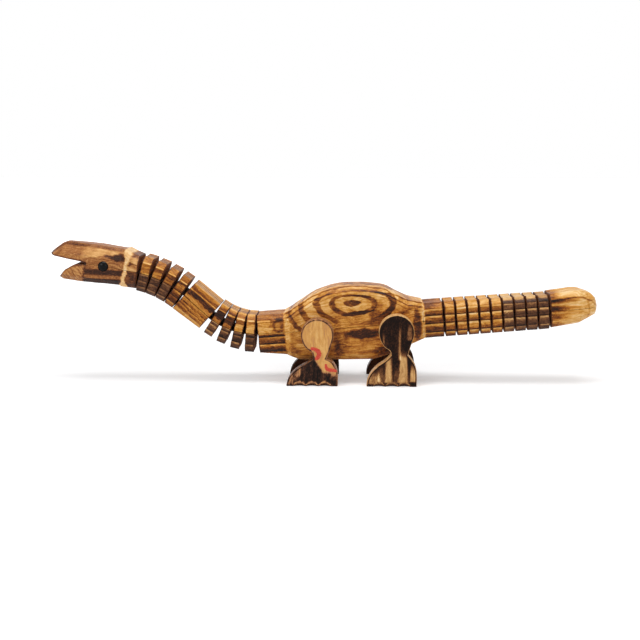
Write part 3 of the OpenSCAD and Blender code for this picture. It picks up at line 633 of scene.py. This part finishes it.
for half in ("upper", "lower"):
    below = half == "lower"
    reach = chin_length if below else head_length

    def head_section(x):
        d = head_face - x
        if below:
            low, high = on_line(d, jaw_top), on_line(d, jaw_bottom)
        else:
            low, high = on_line(d, gape), on_line(d, crown)
        wide = half_board - 0.9 * step(d, collar, collar + 1.2)
        if d > mouth_corner:
            front = (d - mouth_corner) / (head_length - mouth_corner)
            wide = head_half - (head_half - snout_half) * front
            wide -= 2.0 * step(d, reach * 0.94, reach)
        if below:
            bevel_in, bevel_down = bevel, 3.6
        else:
            wide_bevel = step(d, collar, collar + 2.5)
            bevel_in, bevel_down = bevel + 2.2 * wide_bevel, bevel + 3.4 * wide_bevel
        bevel_in = min(bevel_in, wide * 0.6)
        bevel_down = min(bevel_down, (high - low) * 0.62)
        return section(wide, strip_half + low, high, bevel_in, bevel_down, swell=0.12,
                       lip=seam_lip if d < mouth_corner else 0.0)

    def head_burn(p):
        d = head_face - p.x
        crest = on_line(d, crown)
        ragged = noise.noise(Vector((p.x * 0.3, p.y * 0.05, p.z * 0.3)))
        cream_half = 1.3 + 1.5 * step(abs(p.z), 7.5, 11)
        cream = step(abs(d - 8.0 + 1.1 * ragged + 0.04 * p.z), cream_half + 0.3, cream_half - 0.3)
        if d < collar:
            level = 0.30 + 0.12 * ragged + 0.30 * step(abs(p.z - 4.4 - 2 * ragged), 0.9, 0.2)
            level += 0.32 * step(p.z, 8.6, 9.6) * step(d, 6, 3)
            if below:
                level = 0.70 + 0.2 * ragged
        elif d < mouth_corner:
            over_line = p.z + 4.1 + 0.13 * d
            level = 0.45 + 0.34 * step(abs(over_line - 3.0), 2.3, 1.2)
            level += 0.40 * step(over_line, -0.8, -1.8)
        else:
            level = 0.46 + 0.10 * ragged
            if below:
                slant = Vector((0.9 * (p.x + 0.9 * p.z), 0, 0.1 * (p.x - p.z)))
                inside = -p.z - on_line(d, jaw_top)
                level = 0.40 + 0.24 * noise.noise(slant) + 0.35 * step(inside, 1.6, 0.7)
                level += 0.3 * step(d, 36, 34.5)
        if not below and d > collar - 1.6:
            bevel_edge = crest - 3.2 - 0.25 * max(0, d - 12) + 0.5 * ragged
            wedge = bevel_edge - 4.4 * step(d, 25, 12)
            level += 0.40 * step(p.z, wedge - 0.7, wedge + 0.4) * step(d, 27, 22)
            bevel_level = 0.27 + 0.14 * step(d, 30, 42) + 0.08 * ragged
            level += (bevel_level - level) * step(p.z, bevel_edge - 0.4, bevel_edge + 0.3)
            level += (0.46 - level) * step(p.z, crest - 1.3, crest - 0.5) * step(d, 57, 53)
            level += 0.24 * step(abs(p.z - crest + 1.2), 0.8, 0.3)
            level += 0.40 * step(d, 57.8, 59.2)
            if d > mouth_corner:
                level += 0.30 * step(p.z - on_line(d, gape), 1.5, 0.8)
        if below and d > collar:
            level += 0.25 * step(d, 49.5, 51)
        return level + (0.08 - level) * cream

    def head_wear(p):
        return step(head_face - p.x, 0.8, 0.0)

    places = stations(head_face - reach, head_face, 0.7)
    data = carve(f"head_{half}_wood", places, head_section, below)
    piece = finish_wood(data, "head", (head_pine, saw_face), head_wear, head_burn, wobble=0.16)
    back = laid["head"].inverted()
    for face in piece.data.polygons:
        middle = back @ face.center
        d = head_face - middle.x
        mouth = strip_half + 0.25 + on_line(d, jaw_top if below else gape)
        if d > mouth_corner + 0.2 and abs(middle.z) < mouth and abs(middle.y) < head_half - 1:
            face.material_index = 1
    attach(piece, "head")
    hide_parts(f"head_{half}")

# Eyes: turned black domes, polished, pushed with their shanks into drilled holes on the glue
# line until the rim seats on the side of the head.
polished, tree, shader = new_material("polished black")
place = wire(tree, "ShaderNodeTexCoord").outputs["Object"]
haze = wire(tree, "ShaderNodeTexNoise", {"Vector": place, "Scale": 900.0, "Detail": 3.0}).outputs[0]
plug(tree, shader, {"Base Color": ramp(tree, haze, (0.3, 4, 4, 4), (0.8, 11, 11, 10)),
                    "Roughness": spread(tree, haze, 0, 1, 0.1, 0.2), "Specular IOR Level": 0.08,
                    "Coat Weight": 0.05, "Coat Roughness": 0.04})
eye_radius = 3.5
eye_dome = 2.1
eye_x = 22.6
shank_radius = 1.5
shank_length = 6.0
around = 40
ball = (eye_radius ** 2 + eye_dome ** 2) / (2 * eye_dome)
widest = math.asin(eye_radius / ball)
eye_profile = [(ball * math.sin(widest * k / 10), eye_dome - ball * (1 - math.cos(widest * k / 10)))
               for k in range(1, 11)]
eye_profile += [(eye_radius + 0.02, -0.12), (shank_radius, -0.15), (shank_radius, -shank_length)]
for node in ("eye_left", "eye_right"):
    back = laid["head"].inverted()
    side = 1 if sum((back @ v.co).y for v in frame["nodes"][node].data.vertices) > 0 else -1
    mesh = bmesh.new()
    pole = mesh.verts.new((0, 0, eye_dome))
    turns = [math.tau * k / around for k in range(around)]
    rings = [[mesh.verts.new((r * math.cos(a), r * math.sin(a), h)) for a in turns]
             for r, h in eye_profile]
    for k in range(around):
        mesh.faces.new((pole, rings[0][k], rings[0][(k + 1) % around]))
    skin(mesh, rings, closed=[-1])
    seat = Matrix.Translation((head_face - eye_x, side * head_half, 0))
    outwards = seat @ Matrix.Rotation(-side * math.pi / 2, 4, "X")
    bmesh.ops.transform(mesh, matrix=laid["head"] @ outwards, verts=mesh.verts)
    for face in mesh.faces:
        face.smooth = True
    piece = add_piece(mesh_data(mesh, node + "_dome"), polished)
    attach(piece, "head")
    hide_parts(node)

# Tail: nine short pieces of the board between finer saw cuts. Flutes run along both sides from
# end to end, each half of a piece carries its share of them, and each flute is painted light
# along the top and dark along the bottom, a painted highlight and painted shade.
tail_order = [f"tail_{k}" for k in range(1, 10)] + ["tail_tip"]
for name in tail_order:
    laid[name] = laid["body"]
    cut_at[name] = (laid["body"].inverted() @ (hinge_at[name] * mm)).x

# How dark: the side, and the top
tail_burn = {
    "tail_1": (0.48, 0.33), "tail_2": (0.40, 0.27), "tail_3": (0.39, 0.24),
    "tail_4": (0.42, 0.22), "tail_5": (0.44, 0.21), "tail_6": (0.58, 0.15),
    "tail_7": (0.65, 0.18), "tail_8": (0.66, 0.17), "tail_9": (0.68, 0.33),
}
for name, (side, top) in tail_burn.items():
    smoked = side > 0.5
    for half in ("upper", "lower"):
        below = half == "lower"
        start, end, tall = board_ends(f"{name}_{half}", name)

        def tail_section(x):
            return tail_cut(half, tall[0], bevel if below else 3.3, 22)

        def tail_burnt_and_lit(p):
            crest = tall[0]
            if p.z > crest - 3.4:
                if smoked:
                    return top + 0.62 * step(p.z, crest - 0.9, crest - 2.4)
                return top + 0.14 * step(p.z, crest - 2.2, crest - 3.2)
            # Flutes with painted light and shade
            if smoked:
                return side + flute_light_and_shade(p.z, tail_bands, 0.20, 0.30, 0.2)
            return side + flute_light_and_shade(p.z, tail_bands, 0.32, 0.2, 0.26)

        data = carve(f"{name}_{half}_wood", stations(start, end, worn=0.15), tail_section, below)
        piece = finish_wood(data, name, smoked_woods if smoked else board_woods,
                            saw_wear(start, end, 0.38), tail_burnt_and_lit)
        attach(piece, name)
        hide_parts(f"{name}_{half}")

# Tip of the tail: pine, left whole beyond the last saw cut, its flutes run out towards a blunt
# rounded end that the torch hardly touched.
tip_start, tip_end, tall = board_ends("tail_tip_upper", "tail_tip")
tip_length = tip_end - tip_start
tip_top = [(0, 10.8), (0.5, 11.85), (0.66, 11.7), (0.88, 9.1), (0.985, 5.4), (1, 1.6)]
tip_under = [(0, 11.1), (0.6, 9.1), (0.8, 6.7), (0.93, 4.7), (0.98, 2.9), (0.99, 1.2)]
tip_plan = [(0, 14), (0.6, 14), (0.8, 12.6), (0.94, 10.1), (1, 6.7)]
for half in ("upper", "lower"):
    below = half == "lower"

    def tip_section(x):
        t = (x - tip_start) / tip_length
        height = on_line(t, tip_under if below else tip_top)
        bevel_in = bevel * (0.3 + 0.7 * step(t, 1.0, 0.8))
        closed = step(t, 0.9, 0.96)
        return section(on_line(t, tip_plan), strip_half * (1 - closed), height, bevel_in,
                       min(bevel_in, height * 0.5), tail_side_flute[half], tail_top_flutes,
                       groove=0.6 * step(t, 0.75, 0.3), swell=0.4 * step(t, 0.9, 0.4),
                       bulge=0.35 * step(t, 0.8, 0.3), lip=seam_lip * (1 - closed))

    def tip_burn(p):
        t = (p.x - tip_start) / tip_length
        reach = 0.42 + 0.25 * noise.noise(Vector((0.05 * p.x, 0.4 * p.y, 0.55 * p.z)))
        tongue = 0.5 - 0.5 * math.cos((p.z - 4.2) * math.tau / 5.4)
        tongue *= 0.45 + 0.55 * step(p.z, -6, 2)
        dark = step(t, reach + 0.34 * tongue, 0.0)
        level = 0.13 + 0.76 * dark * (0.3 + 0.7 * tongue)
        bevel_edge = on_line(t, tip_top) - 3.9 - 0.8 * step(t, 0.6, 0.95)
        on_bevel = step(p.z, bevel_edge - 0.2, bevel_edge + 0.5)
        level += (0.14 + 0.34 * step(t, 0.30, 0.0) - level) * on_bevel
        level += 0.34 * step(abs(p.z - bevel_edge), 0.6, 0.2)
        level += 0.16 * step(abs(t - 0.81 + 0.004 * abs(p.z)), 0.025, 0.008) * (1 - on_bevel)
        return level + 0.16 * step(t, 0.96, 1.0)

    def tip_wear(p):
        return step(p.x - tip_start, 1.0, 0.0)

    end = tip_start + tip_length * (0.99 if below else 1)
    data = carve(f"tail_tip_{half}_wood", stations(tip_start, end, 0.7), tip_section, below)
    piece = finish_wood(data, "tail_tip", board_woods, tip_wear, tip_burn, wobble=0.14)
    for face in piece.data.polygons:
        if face.material_index and face.normal.x > 0.5:
            face.material_index = 0
    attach(piece, "tail_tip")
    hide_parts(f"tail_tip_{half}")

# Strip: thin dark leather glued between the two boards, the only thing that holds the sawn
# pieces together. It shows in the saw cuts, where it bends, and as a fine line along the glue.
leather, tree, shader = new_material("strip leather")
place = wire(tree, "ShaderNodeTexCoord").outputs["Object"]
pores = wire(tree, "ShaderNodeTexVoronoi", {"Vector": place, "Scale": 1800.0})
blotch = wire(tree, "ShaderNodeTexNoise", {"Vector": place, "Scale": 160.0, "Detail": 4.0})
brown = ramp(tree, blotch.outputs[0], (0.3, 20, 11, 7), (0.7, 44, 25, 16))
dimples = {"Height": pores.outputs["Distance"], "Strength": 0.3, "Distance": 0.0002}
plug(tree, shader, {"Base Color": brown, "Roughness": 0.85, "Specular IOR Level": 0.06,
                    "Normal": wire(tree, "ShaderNodeBump", dimples).outputs[0]})
strip_edge = 13.7
strip_thick = 0.8
saw_cut = {"neck_8": 2.2, "neck_7": 2.2, "neck_6": 2.2, "neck_5": 2.2, "neck_long": 2.2,
           "neck_4": 1.8, "neck_3": 1.8, "neck_2": 1.8, "neck_1": 1.8, "head": 1.8}


def strip_piece(name, near_body, far_body, hinge_x, start_x, end_x, cut, narrows=()):
    """The stretch of strip across one saw cut, from the middle of one piece to the next. At the
    ends of the toy, narrows says where the strip is trimmed along with the wood."""
    towards = 1 if start_x > end_x else -1
    mesh = bmesh.new()
    steps = [(start_x, strip_edge)]
    steps += [(hinge_x + cut * (0.5 - k / 8) * towards, strip_edge) for k in range(9)]
    steps += narrows or [(end_x, strip_edge)]
    rings = []
    for x, edge in steps:
        share = step((hinge_x - x) / cut * towards, -0.5, 0.5)
        ring = []
        for y, z in ((-1, -0.5), (1, -0.5), (1, 0.5), (-1, 0.5)):
            p = Vector((x, y * edge, z * strip_thick))
            ring.append(mesh.verts.new((laid[near_body] @ p).lerp(laid[far_body] @ p, share)))
        rings.append(ring)
    skin(mesh, rings)
    piece = add_piece(mesh_data(mesh, name), leather)
    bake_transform(piece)
    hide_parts("flex_strip")


strip_in_head = [(head_face - collar, strip_edge), (head_face - collar - 1.2, head_half - 0.4),
                 (head_face - mouth_corner, head_half - 0.4)]
strip_in_tip = [(tip_start + t * tip_length, on_line(t, tip_plan) - 0.4)
                for t in (0.5, 0.6, 0.8, 0.9)]
for part, order in (("neck", neck_order), ("tail", tail_order)):
    hinges = [cut_at[name] for name in order]
    ends = [0.0] + [(a + b) / 2 for a, b in zip(hinges, hinges[1:])]
    ends += [head_face - mouth_corner if part == "neck" else tip_start + 0.9 * tip_length]
    last_stretch = strip_in_head if part == "neck" else strip_in_tip
    for k, name in enumerate(order):
        near_body = order[k - 1] if k else "body"
        strip_piece(f"strip_{part}_{k + 1}", near_body, name, hinges[k], ends[k], ends[k + 1],
                    saw_cut.get(name, 1.2), last_stretch if k == len(order) - 1 else ())

# Legs: pine plates sawn with the grain upright, glued and dowelled flat on the body's sides.
# Three toes are gouged into the lower outer edge of each foot. Only the near front leg was
# left pale; the torch blackened the others.
leg_thick = 9.0
heel_reach = 13.3
toe_height = 2.7
toe_pitch = 8.2
gouge = 5.6
gouge_tilt = math.radians(40)
leg_soft = 0.7
legs = {
    "front": dict(hip=-22.6, hip_z=33.4, r=10.6, ankle=18.0, shin=2.4, calf=5.9, toe=20.2),
    "rear": dict(hip=28.6, hip_z=35.3, r=11.4, ankle=20.6, shin=3.4, calf=7.3, toe=19.3),
}


def leg_edges(leg, z):
    """How far the plate reaches forwards and backwards of the hip at height z."""
    r, top, toe, a = leg["r"], leg["hip_z"], leg["toe"], leg["ankle"]
    if z > top - 0.3 * r:
        reach = math.sqrt(max(0.0, r * r - (z - top) ** 2))
        return -reach, reach
    front = [(0, toe), (0.22 * a, 0.955 * toe), (0.44 * a, 0.83 * toe), (0.65 * a, 0.62 * toe),
             (0.83 * a, 0.35 * toe), (a, leg["shin"])]
    shin = [(a, leg["shin"]), (top - 1.05 * r, 0.36 * r), (top - 0.83 * r, 0.66 * r),
            (top - 0.58 * r, 0.84 * r), (top - 0.3 * r, 0.954 * r)]
    heel = [(0, heel_reach), (0.48 * a, 0.985 * heel_reach), (0.69 * a, 0.9 * heel_reach),
            (0.91 * a, 0.68 * heel_reach), (a, leg["calf"])]
    calf = [(a, leg["calf"]), (top - 1.1 * r, 0.7 * r), (top - 0.34 * r, 0.94 * r),
            (top - 0.3 * r, 0.954 * r)]
    return -along(z, front if z <= a else shin), along(z, heel if z <= a else calf)


def from_outline(leg, x, z):
    """How far a place on the plate's face lies inside the sawn outline."""
    r, top = leg["r"], leg["hip_z"]
    if z > top - 0.3 * r:
        return r - math.hypot(x, z - top)
    front, back = leg_edges(leg, z)
    above, below = leg_edges(leg, z + 0.3), leg_edges(leg, max(0, z - 0.3))
    rise = 0.3 + min(0.3, z)
    return min((x - front) / math.hypot(1, (above[0] - below[0]) / rise),
               (back - x) / math.hypot(1, (above[1] - below[1]) / rise))


def leg_mesh(name, leg, side):
    mesh = bmesh.new()
    a, r, top = leg["ankle"], leg["r"], leg["hip_z"]
    heights = [0, 0.15, 0.5] + [0.5 + (a - 0.5) * k / 26 for k in range(1, 27)]
    heights += [a + (top - 0.3 * r - a) * k / 12 for k in range(1, 13)]
    first = math.asin(-0.3)
    heights += [top + r * math.sin(first + (math.pi / 2 - first) * k / 20) for k in range(1, 20)]
    heights += [top + r * 0.9995]
    inner = side * half_body
    outer = side * (half_body + leg_thick)
    rings = []
    for z in heights:
        front, back = leg_edges(leg, z)
        front += 0.25 * step(z, 0.5, 0.0)
        back -= 0.25 * step(z, 0.5, 0.0)
        wide = back - front
        rim = [k * min(1, wide / 8) for k in (0, 0.12, 0.35, 0.65, 1.0, 1.4, 1.8, 2.3)]
        flat = [rim[-1] + (wide - 2 * rim[-1]) * k / 32 for k in range(1, 32)]
        across = [front + k for k in rim + flat] + [back - k for k in reversed(rim)]
        ring = [(front, inner), (front, (inner + outer) / 2)]
        for x in across:
            out = max(0.0, 1 - max(0.0, from_outline(leg, x, z)) / leg_soft)
            ring.append((x, outer - side * leg_soft * (1 - math.sqrt(1 - min(1, out) ** 2))))
        ring += [(back, (inner + outer) / 2), (back, inner)]
        rings.append([mesh.verts.new((leg["hip"] + x, y, z)) for x, y in ring])
    skin(mesh, rings)
    return mesh_data(mesh, name)


def gouge_toes(data, leg, side):
    """Cuts the three toes with a gouge held at a slant to the lower outer edge."""
    plate = add_piece(data)
    cutters = []
    for k in (-1, 0, 1):
        cutter = bmesh.new()
        bmesh.ops.create_cone(cutter, cap_ends=True, segments=64, radius1=gouge, radius2=gouge,
                              depth=4 * gouge)
        x = leg["hip"] + (heel_reach - leg["toe"]) / 2 + k * toe_pitch
        out = side * (gouge - toe_height * math.sin(gouge_tilt))
        where = (Matrix.Translation((x, side * (half_body + leg_thick), 0))
                 @ Matrix.Rotation(-side * gouge_tilt, 4, "X") @ Matrix.Translation((0, out, 0)))
        bmesh.ops.transform(cutter, matrix=where, verts=cutter.verts)
        tool = add_piece(mesh_data(cutter, "gouge"))
        cutters.append(tool)
        cut = plate.modifiers.new("toe", "BOOLEAN")
        cut.operation = "DIFFERENCE"
        cut.solver = "EXACT"
        cut.object = tool
    bpy.context.view_layer.update()
    done = bpy.data.meshes.new_from_object(plate.evaluated_get(
        bpy.context.evaluated_depsgraph_get()))
    done.name = data.name
    for used in [plate] + cutters:
        bpy.data.objects.remove(used)
    return done


def scallop(leg, x):
    """Height on the face of the gouged edge of the toes."""
    from_middle = x - (heel_reach - leg["toe"]) / 2
    off = min(abs(from_middle - k * toe_pitch) for k in (-1, 0, 1)) / gouge
    return toe_height - gouge / math.cos(gouge_tilt) * (1 - math.sqrt(max(0, 1 - off * off)))


def edge_burn_and_highlight(level, p, leg, rim, line):
    """Adds to a face's burn its charred outline, the sawn edge in its own tone, and the black gouges
    of the toes with a lighter line along their upper edge, a painted highlight."""
    deep = half_body + leg_thick - abs(p.y)
    x = p.x - leg["hip"]
    inside = from_outline(leg, x, p.z)
    level += (line - level) * step(inside, 1.2, 0.7) * step(p.z, 1.5, 3.0)
    level += (rim - level) * max(step(deep, 0.3, 0.5), step(inside, 0.45, 0.2))
    level += (1.0 - level) * step(p.z, 3.3, 2.9) * step(inside, 0.1, 0.4) * step(deep, 0.1, 0.3)
    arc = scallop(leg, x)
    # A painted highlight: a lighter line on the face along the upper edge of each gouge
    on_face = step(inside, 0.6, 1.2) * step(deep, 0.2, 0.1)
    return level + (0.38 - level) * on_face * step(abs(p.z - arc - 0.1), 0.7, 0.3) * step(arc, 0.6, 1)


def pale_leg_burn_and_highlight(p, leg):
    """The near front leg: pale down to a point above the foot, the foot charred and speckled."""
    x, z = p.x - leg["hip"], p.z
    wander = 0.9 * noise.noise(Vector((x * 0.25, 0, z * 0.25)))
    foot = step(x, -1.8 + (18.5 - z) * 0.67 + wander, -3.4 + (18.5 - z) * 0.67 + wander)
    foot *= step(z, 20.5, 18.5)
    heel = step(z, 10.8 - (x - 3) * 0.25 + wander, 8.2 - (x - 3) * 0.25 + wander)
    dark = max(foot, heel * step(x, 1.5, 3.5))
    level = 0.19 + 0.75 * dark - 0.20 * heel * step(x, 7, 12) * step(z, 2.5, 5.5)
    toe = step(from_outline(leg, x, z), 6.0, 3.5) * step(x, -9.5, -11.5)
    level -= 0.36 * toe * step(z, 0.5, 2.0)
    on_foot = step(z, 22, 18) * step(x, 6, 2)
    return edge_burn_and_highlight(level, p, leg, 0.50 + 0.18 * on_foot, 0.78 + 0.2 * on_foot)


def dark_leg_burn_and_highlight(p, leg, streaks, rim):
    """A charred leg with pale streaks where the flame missed a ridge in the grain."""
    x, z = p.x - leg["hip"], p.z
    level = 1.0
    for at, half_wide, z_top, z_low, strength in streaks:
        wide = half_wide * (1 + 0.4 * step(z, z_top, z_low))
        across = step(abs(x - at), wide + 0.7, wide - 0.5)
        level -= strength * across * step(z, z_top + 2.5, z_top - 4) * step(z, z_low - 1, z_low)
    return edge_burn_and_highlight(level, p, leg, rim + 0.08 * step(z, 26, 16), 1.0)


rear_streaks = ((2.0, 0.5, 38, 18, 0.58), (4.6, 2.1, 22, 3, 0.74), (-5.0, 1.7, 20, 3, 0.74),
                (-8.2, 0.5, 35, 23, 0.5), (8.4, 1.1, 41, 31, 0.50), (11.0, 1.6, 14, 3.5, 0.78),
                (-14.4, 3.0, 10, 2, 0.58), (-10.0, 1.5, 13, 3, 0.44), (0.0, 1.2, 12, 3, 0.34))
far_streaks = ((-14.0, 2.5, 10, 0, 0.24), (3.0, 1.4, 24, 0, 0.2), (9.0, 1.5, 16, 0, 0.24))
upright = Matrix(((0, 0, 1, 0), (0, 1, 0, 0), (1, 0, 0, 0), (0, 0, 0, 1)))
stand = Matrix.Scale(mm, 4) @ Matrix.Translation((laid["body"].to_translation().x / mm, 0, 0))
pale_colours = ((0.0, 224, 176, 108), (0.2, 206, 150, 82), (0.42, 184, 130, 88),
                (0.62, 112, 72, 48), (0.8, 58, 34, 24), (1.0, 20, 12, 9))
leg_pine = {"pale": pine("pale leg pine", pale_colours, streaks=0.15, bands=0.10, coat=0.07),
            "dark": pine("smoked leg pine", smoked_colours, streaks=0.07, bands=0.05, coat=0.06)}
for place, leg in legs.items():
    for side, hand in ((-1, "left"), (1, "right")):
        node = f"{place}_{hand}_leg"
        kind = "pale" if node == "front_left_leg" else "dark"

        def leg_burn_and_highlight(p):
            if node == "front_left_leg":
                return pale_leg_burn_and_highlight(p, leg)
            if node == "rear_left_leg":
                return dark_leg_burn_and_highlight(p, leg, rear_streaks, 0.16)
            return dark_leg_burn_and_highlight(p, leg, far_streaks, 0.72)

        data = gouge_toes(leg_mesh(f"{node}_plate", leg, side), leg, side)
        data.materials.clear()
        piece = finish_wood(data, "body", [leg_pine[kind]], lambda p: step(p.z, 0.9, 0.0),
                            leg_burn_and_highlight, wobble=0.05, grain=upright, place=stand, sharp=35)
        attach(piece, "body")
        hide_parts(node)

# Dabs: two short strokes of red paint on the near front leg, one at the shin and one at the
# heel, brushed on by hand over the lacquer.
red_paint, tree, shader = new_material("red paint")
place = wire(tree, "ShaderNodeTexCoord").outputs["Object"]
thin = wire(tree, "ShaderNodeTexNoise", {"Vector": place, "Scale": 900.0, "Detail": 3.0})
red = ramp(tree, thin.outputs[0], (0.35, 184, 38, 14), (0.7, 204, 76, 46))
plug(tree, shader, {"Base Color": red, "Roughness": 0.4})
dabs = {
    "shin": (1.5, [(-27.8, -10.3), (-25.0, -10.9), (-22.9, -12.6), (-22.5, -14.6),
                    (-23.9, -16.8), (-25.4, -17.8)]),
    "heel": (1.25, [(-18.8, -21.2), (-19.0, -23.0), (-18.2, -24.8), (-16.4, -25.4),
                    (-14.4, -25.6), (-12.2, -26.6)]),
}
paint_thick = 0.12
for name, (half_wide, stroke) in dabs.items():
    mesh = bmesh.new()
    rings = []
    steps = 24
    for k in range(steps + 1):
        t = k / steps * (len(stroke) - 1)
        n = min(int(t), len(stroke) - 2)
        a, b = Vector(stroke[n]), Vector(stroke[n + 1])
        p = a.lerp(b, t - n)
        across = Vector((a.y - b.y, b.x - a.x)).normalized()
        wide = half_wide * (0.35 + 0.65 * math.sin(math.pi * (k + 0.5) / (steps + 1)) ** 0.5)
        wide *= 1 + 0.3 * noise.noise(Vector((k * 0.4, 0, 0)))
        ring = []
        for u, thick in ((-1, -0.1), (-0.6, 1), (0.6, 1), (1, -0.1)):
            q = p + across * wide * u
            out = -(half_body + leg_thick) - paint_thick * thick
            ring.append(mesh.verts.new(laid["body"] @ Vector((q.x, out, q.y))))
        rings.append(ring)
    skin(mesh, rings)
    piece = add_piece(mesh_data(mesh, f"red_dab_{name}"), red_paint)
    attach(piece, "body")

# Dowels: turned beech pins glued through the body's side into each leg, two to a leg. They are
# the CAD solids with bare wood on them, and none shows on the finished toy.
beech, tree, shader = new_material("dowel beech")
place = wire(tree, "ShaderNodeTexCoord").outputs["Object"]
flecks = cloud(tree, place, (900.0, 60.0, 900.0), 3, low=0.0)
tan = ramp(tree, flecks, (0.1, 196, 150, 104), (0.9, 224, 188, 144))
plug(tree, shader, {"Base Color": tan, "Roughness": 0.6})
dowels = frame["nodes"]["leg_dowels"]
dowels.data.materials.clear()
dowels.data.materials.append(beech)

# Studio: a white sweep bright enough to wash out, on which only the soft shadow under the toy
# stays, three soft lamps, and the camera a little above the back, slightly right of the middle.
def seen(tree):
    """1 for a ray that shows the white background, in the camera or in a gloss."""
    light = wire(tree, "ShaderNodeLightPath").outputs
    straight = maths(tree, "MAXIMUM", light["Is Camera Ray"], light["Is Glossy Ray"])
    return maths(tree, "MAXIMUM", straight, light["Is Transmission Ray"])


sheet = bmesh.new()
bmesh.ops.create_grid(sheet, x_segments=8, y_segments=8, size=4.0)
paper, tree, shader = new_material("white paper")
floor = add_piece(mesh_data(sheet, "white_table"), paper)
place = wire(tree, "ShaderNodeTexCoord").outputs["Object"]
fibres = wire(tree, "ShaderNodeTexNoise", {"Vector": place, "Scale": 300.0, "Detail": 2.0})
white = ramp(tree, fibres.outputs[0], (0, 238, 238, 240), (1, 244, 244, 244))
plug(tree, shader, {"Base Color": white, "Roughness": 0.5, "Specular IOR Level": 0.2})
away = wire(tree, "ShaderNodeVectorMath", {0: place}, operation="LENGTH").outputs["Value"]
swept = spread(tree, away, 0.25, 1.1, 0.24, 1.0, "SMOOTHSTEP")
strength = maths(tree, "MULTIPLY", seen(tree), swept)
glow = wire(tree, "ShaderNodeEmission", {"Color": (1, 1, 1, 1), "Strength": strength})
lit = wire(tree, "ShaderNodeAddShader", {0: shader.outputs[0], 1: glow.outputs[0]})
plug(tree, tree.nodes["Material Output"], {"Surface": lit.outputs[0]})

world = bpy.data.worlds.new("white room")
bpy.context.scene.world = world
world.use_nodes = True
tree = world.node_tree
plug(tree, tree.nodes["Background"], {"Color": (1, 1, 1, 1),
                                      "Strength": spread(tree, seen(tree), 0, 1, 0.36, 1.0)})


def lamp(name, at, size, watts):
    data = bpy.data.lights.new(name, "AREA")
    data.shape = "RECTANGLE"
    data.size, data.size_y = size
    data.energy = watts
    lamp_object = bpy.data.objects.new(name, data)
    bpy.context.scene.collection.objects.link(lamp_object)
    lamp_object.location = at
    aim = Vector((0, 0, 0.04)) - Vector(at)
    lamp_object.rotation_euler = aim.to_track_quat("-Z", "Y").to_euler()


lamp("soft box left", (-0.75, -0.85, 0.75), (0.7, 0.5), 6)
lamp("soft box right", (0.85, -0.7, 0.55), (0.5, 0.5), 2.4)
lamp("soft box above", (0.0, -0.05, 1.0), (0.8, 0.4), 5.5)

camera_data = bpy.data.cameras.new("camera")
camera = bpy.data.objects.new("camera", camera_data)
bpy.context.scene.collection.objects.link(camera)
camera_data.sensor_width = 36.0
camera_data.lens = 64.69
camera.rotation_euler = (math.radians(81.104), 0, math.radians(1.968))
camera.location = (0.02428, -0.75513, 0.15797)
bpy.context.scene.camera = camera
bpy.context.scene.view_settings.view_transform = "Standard"
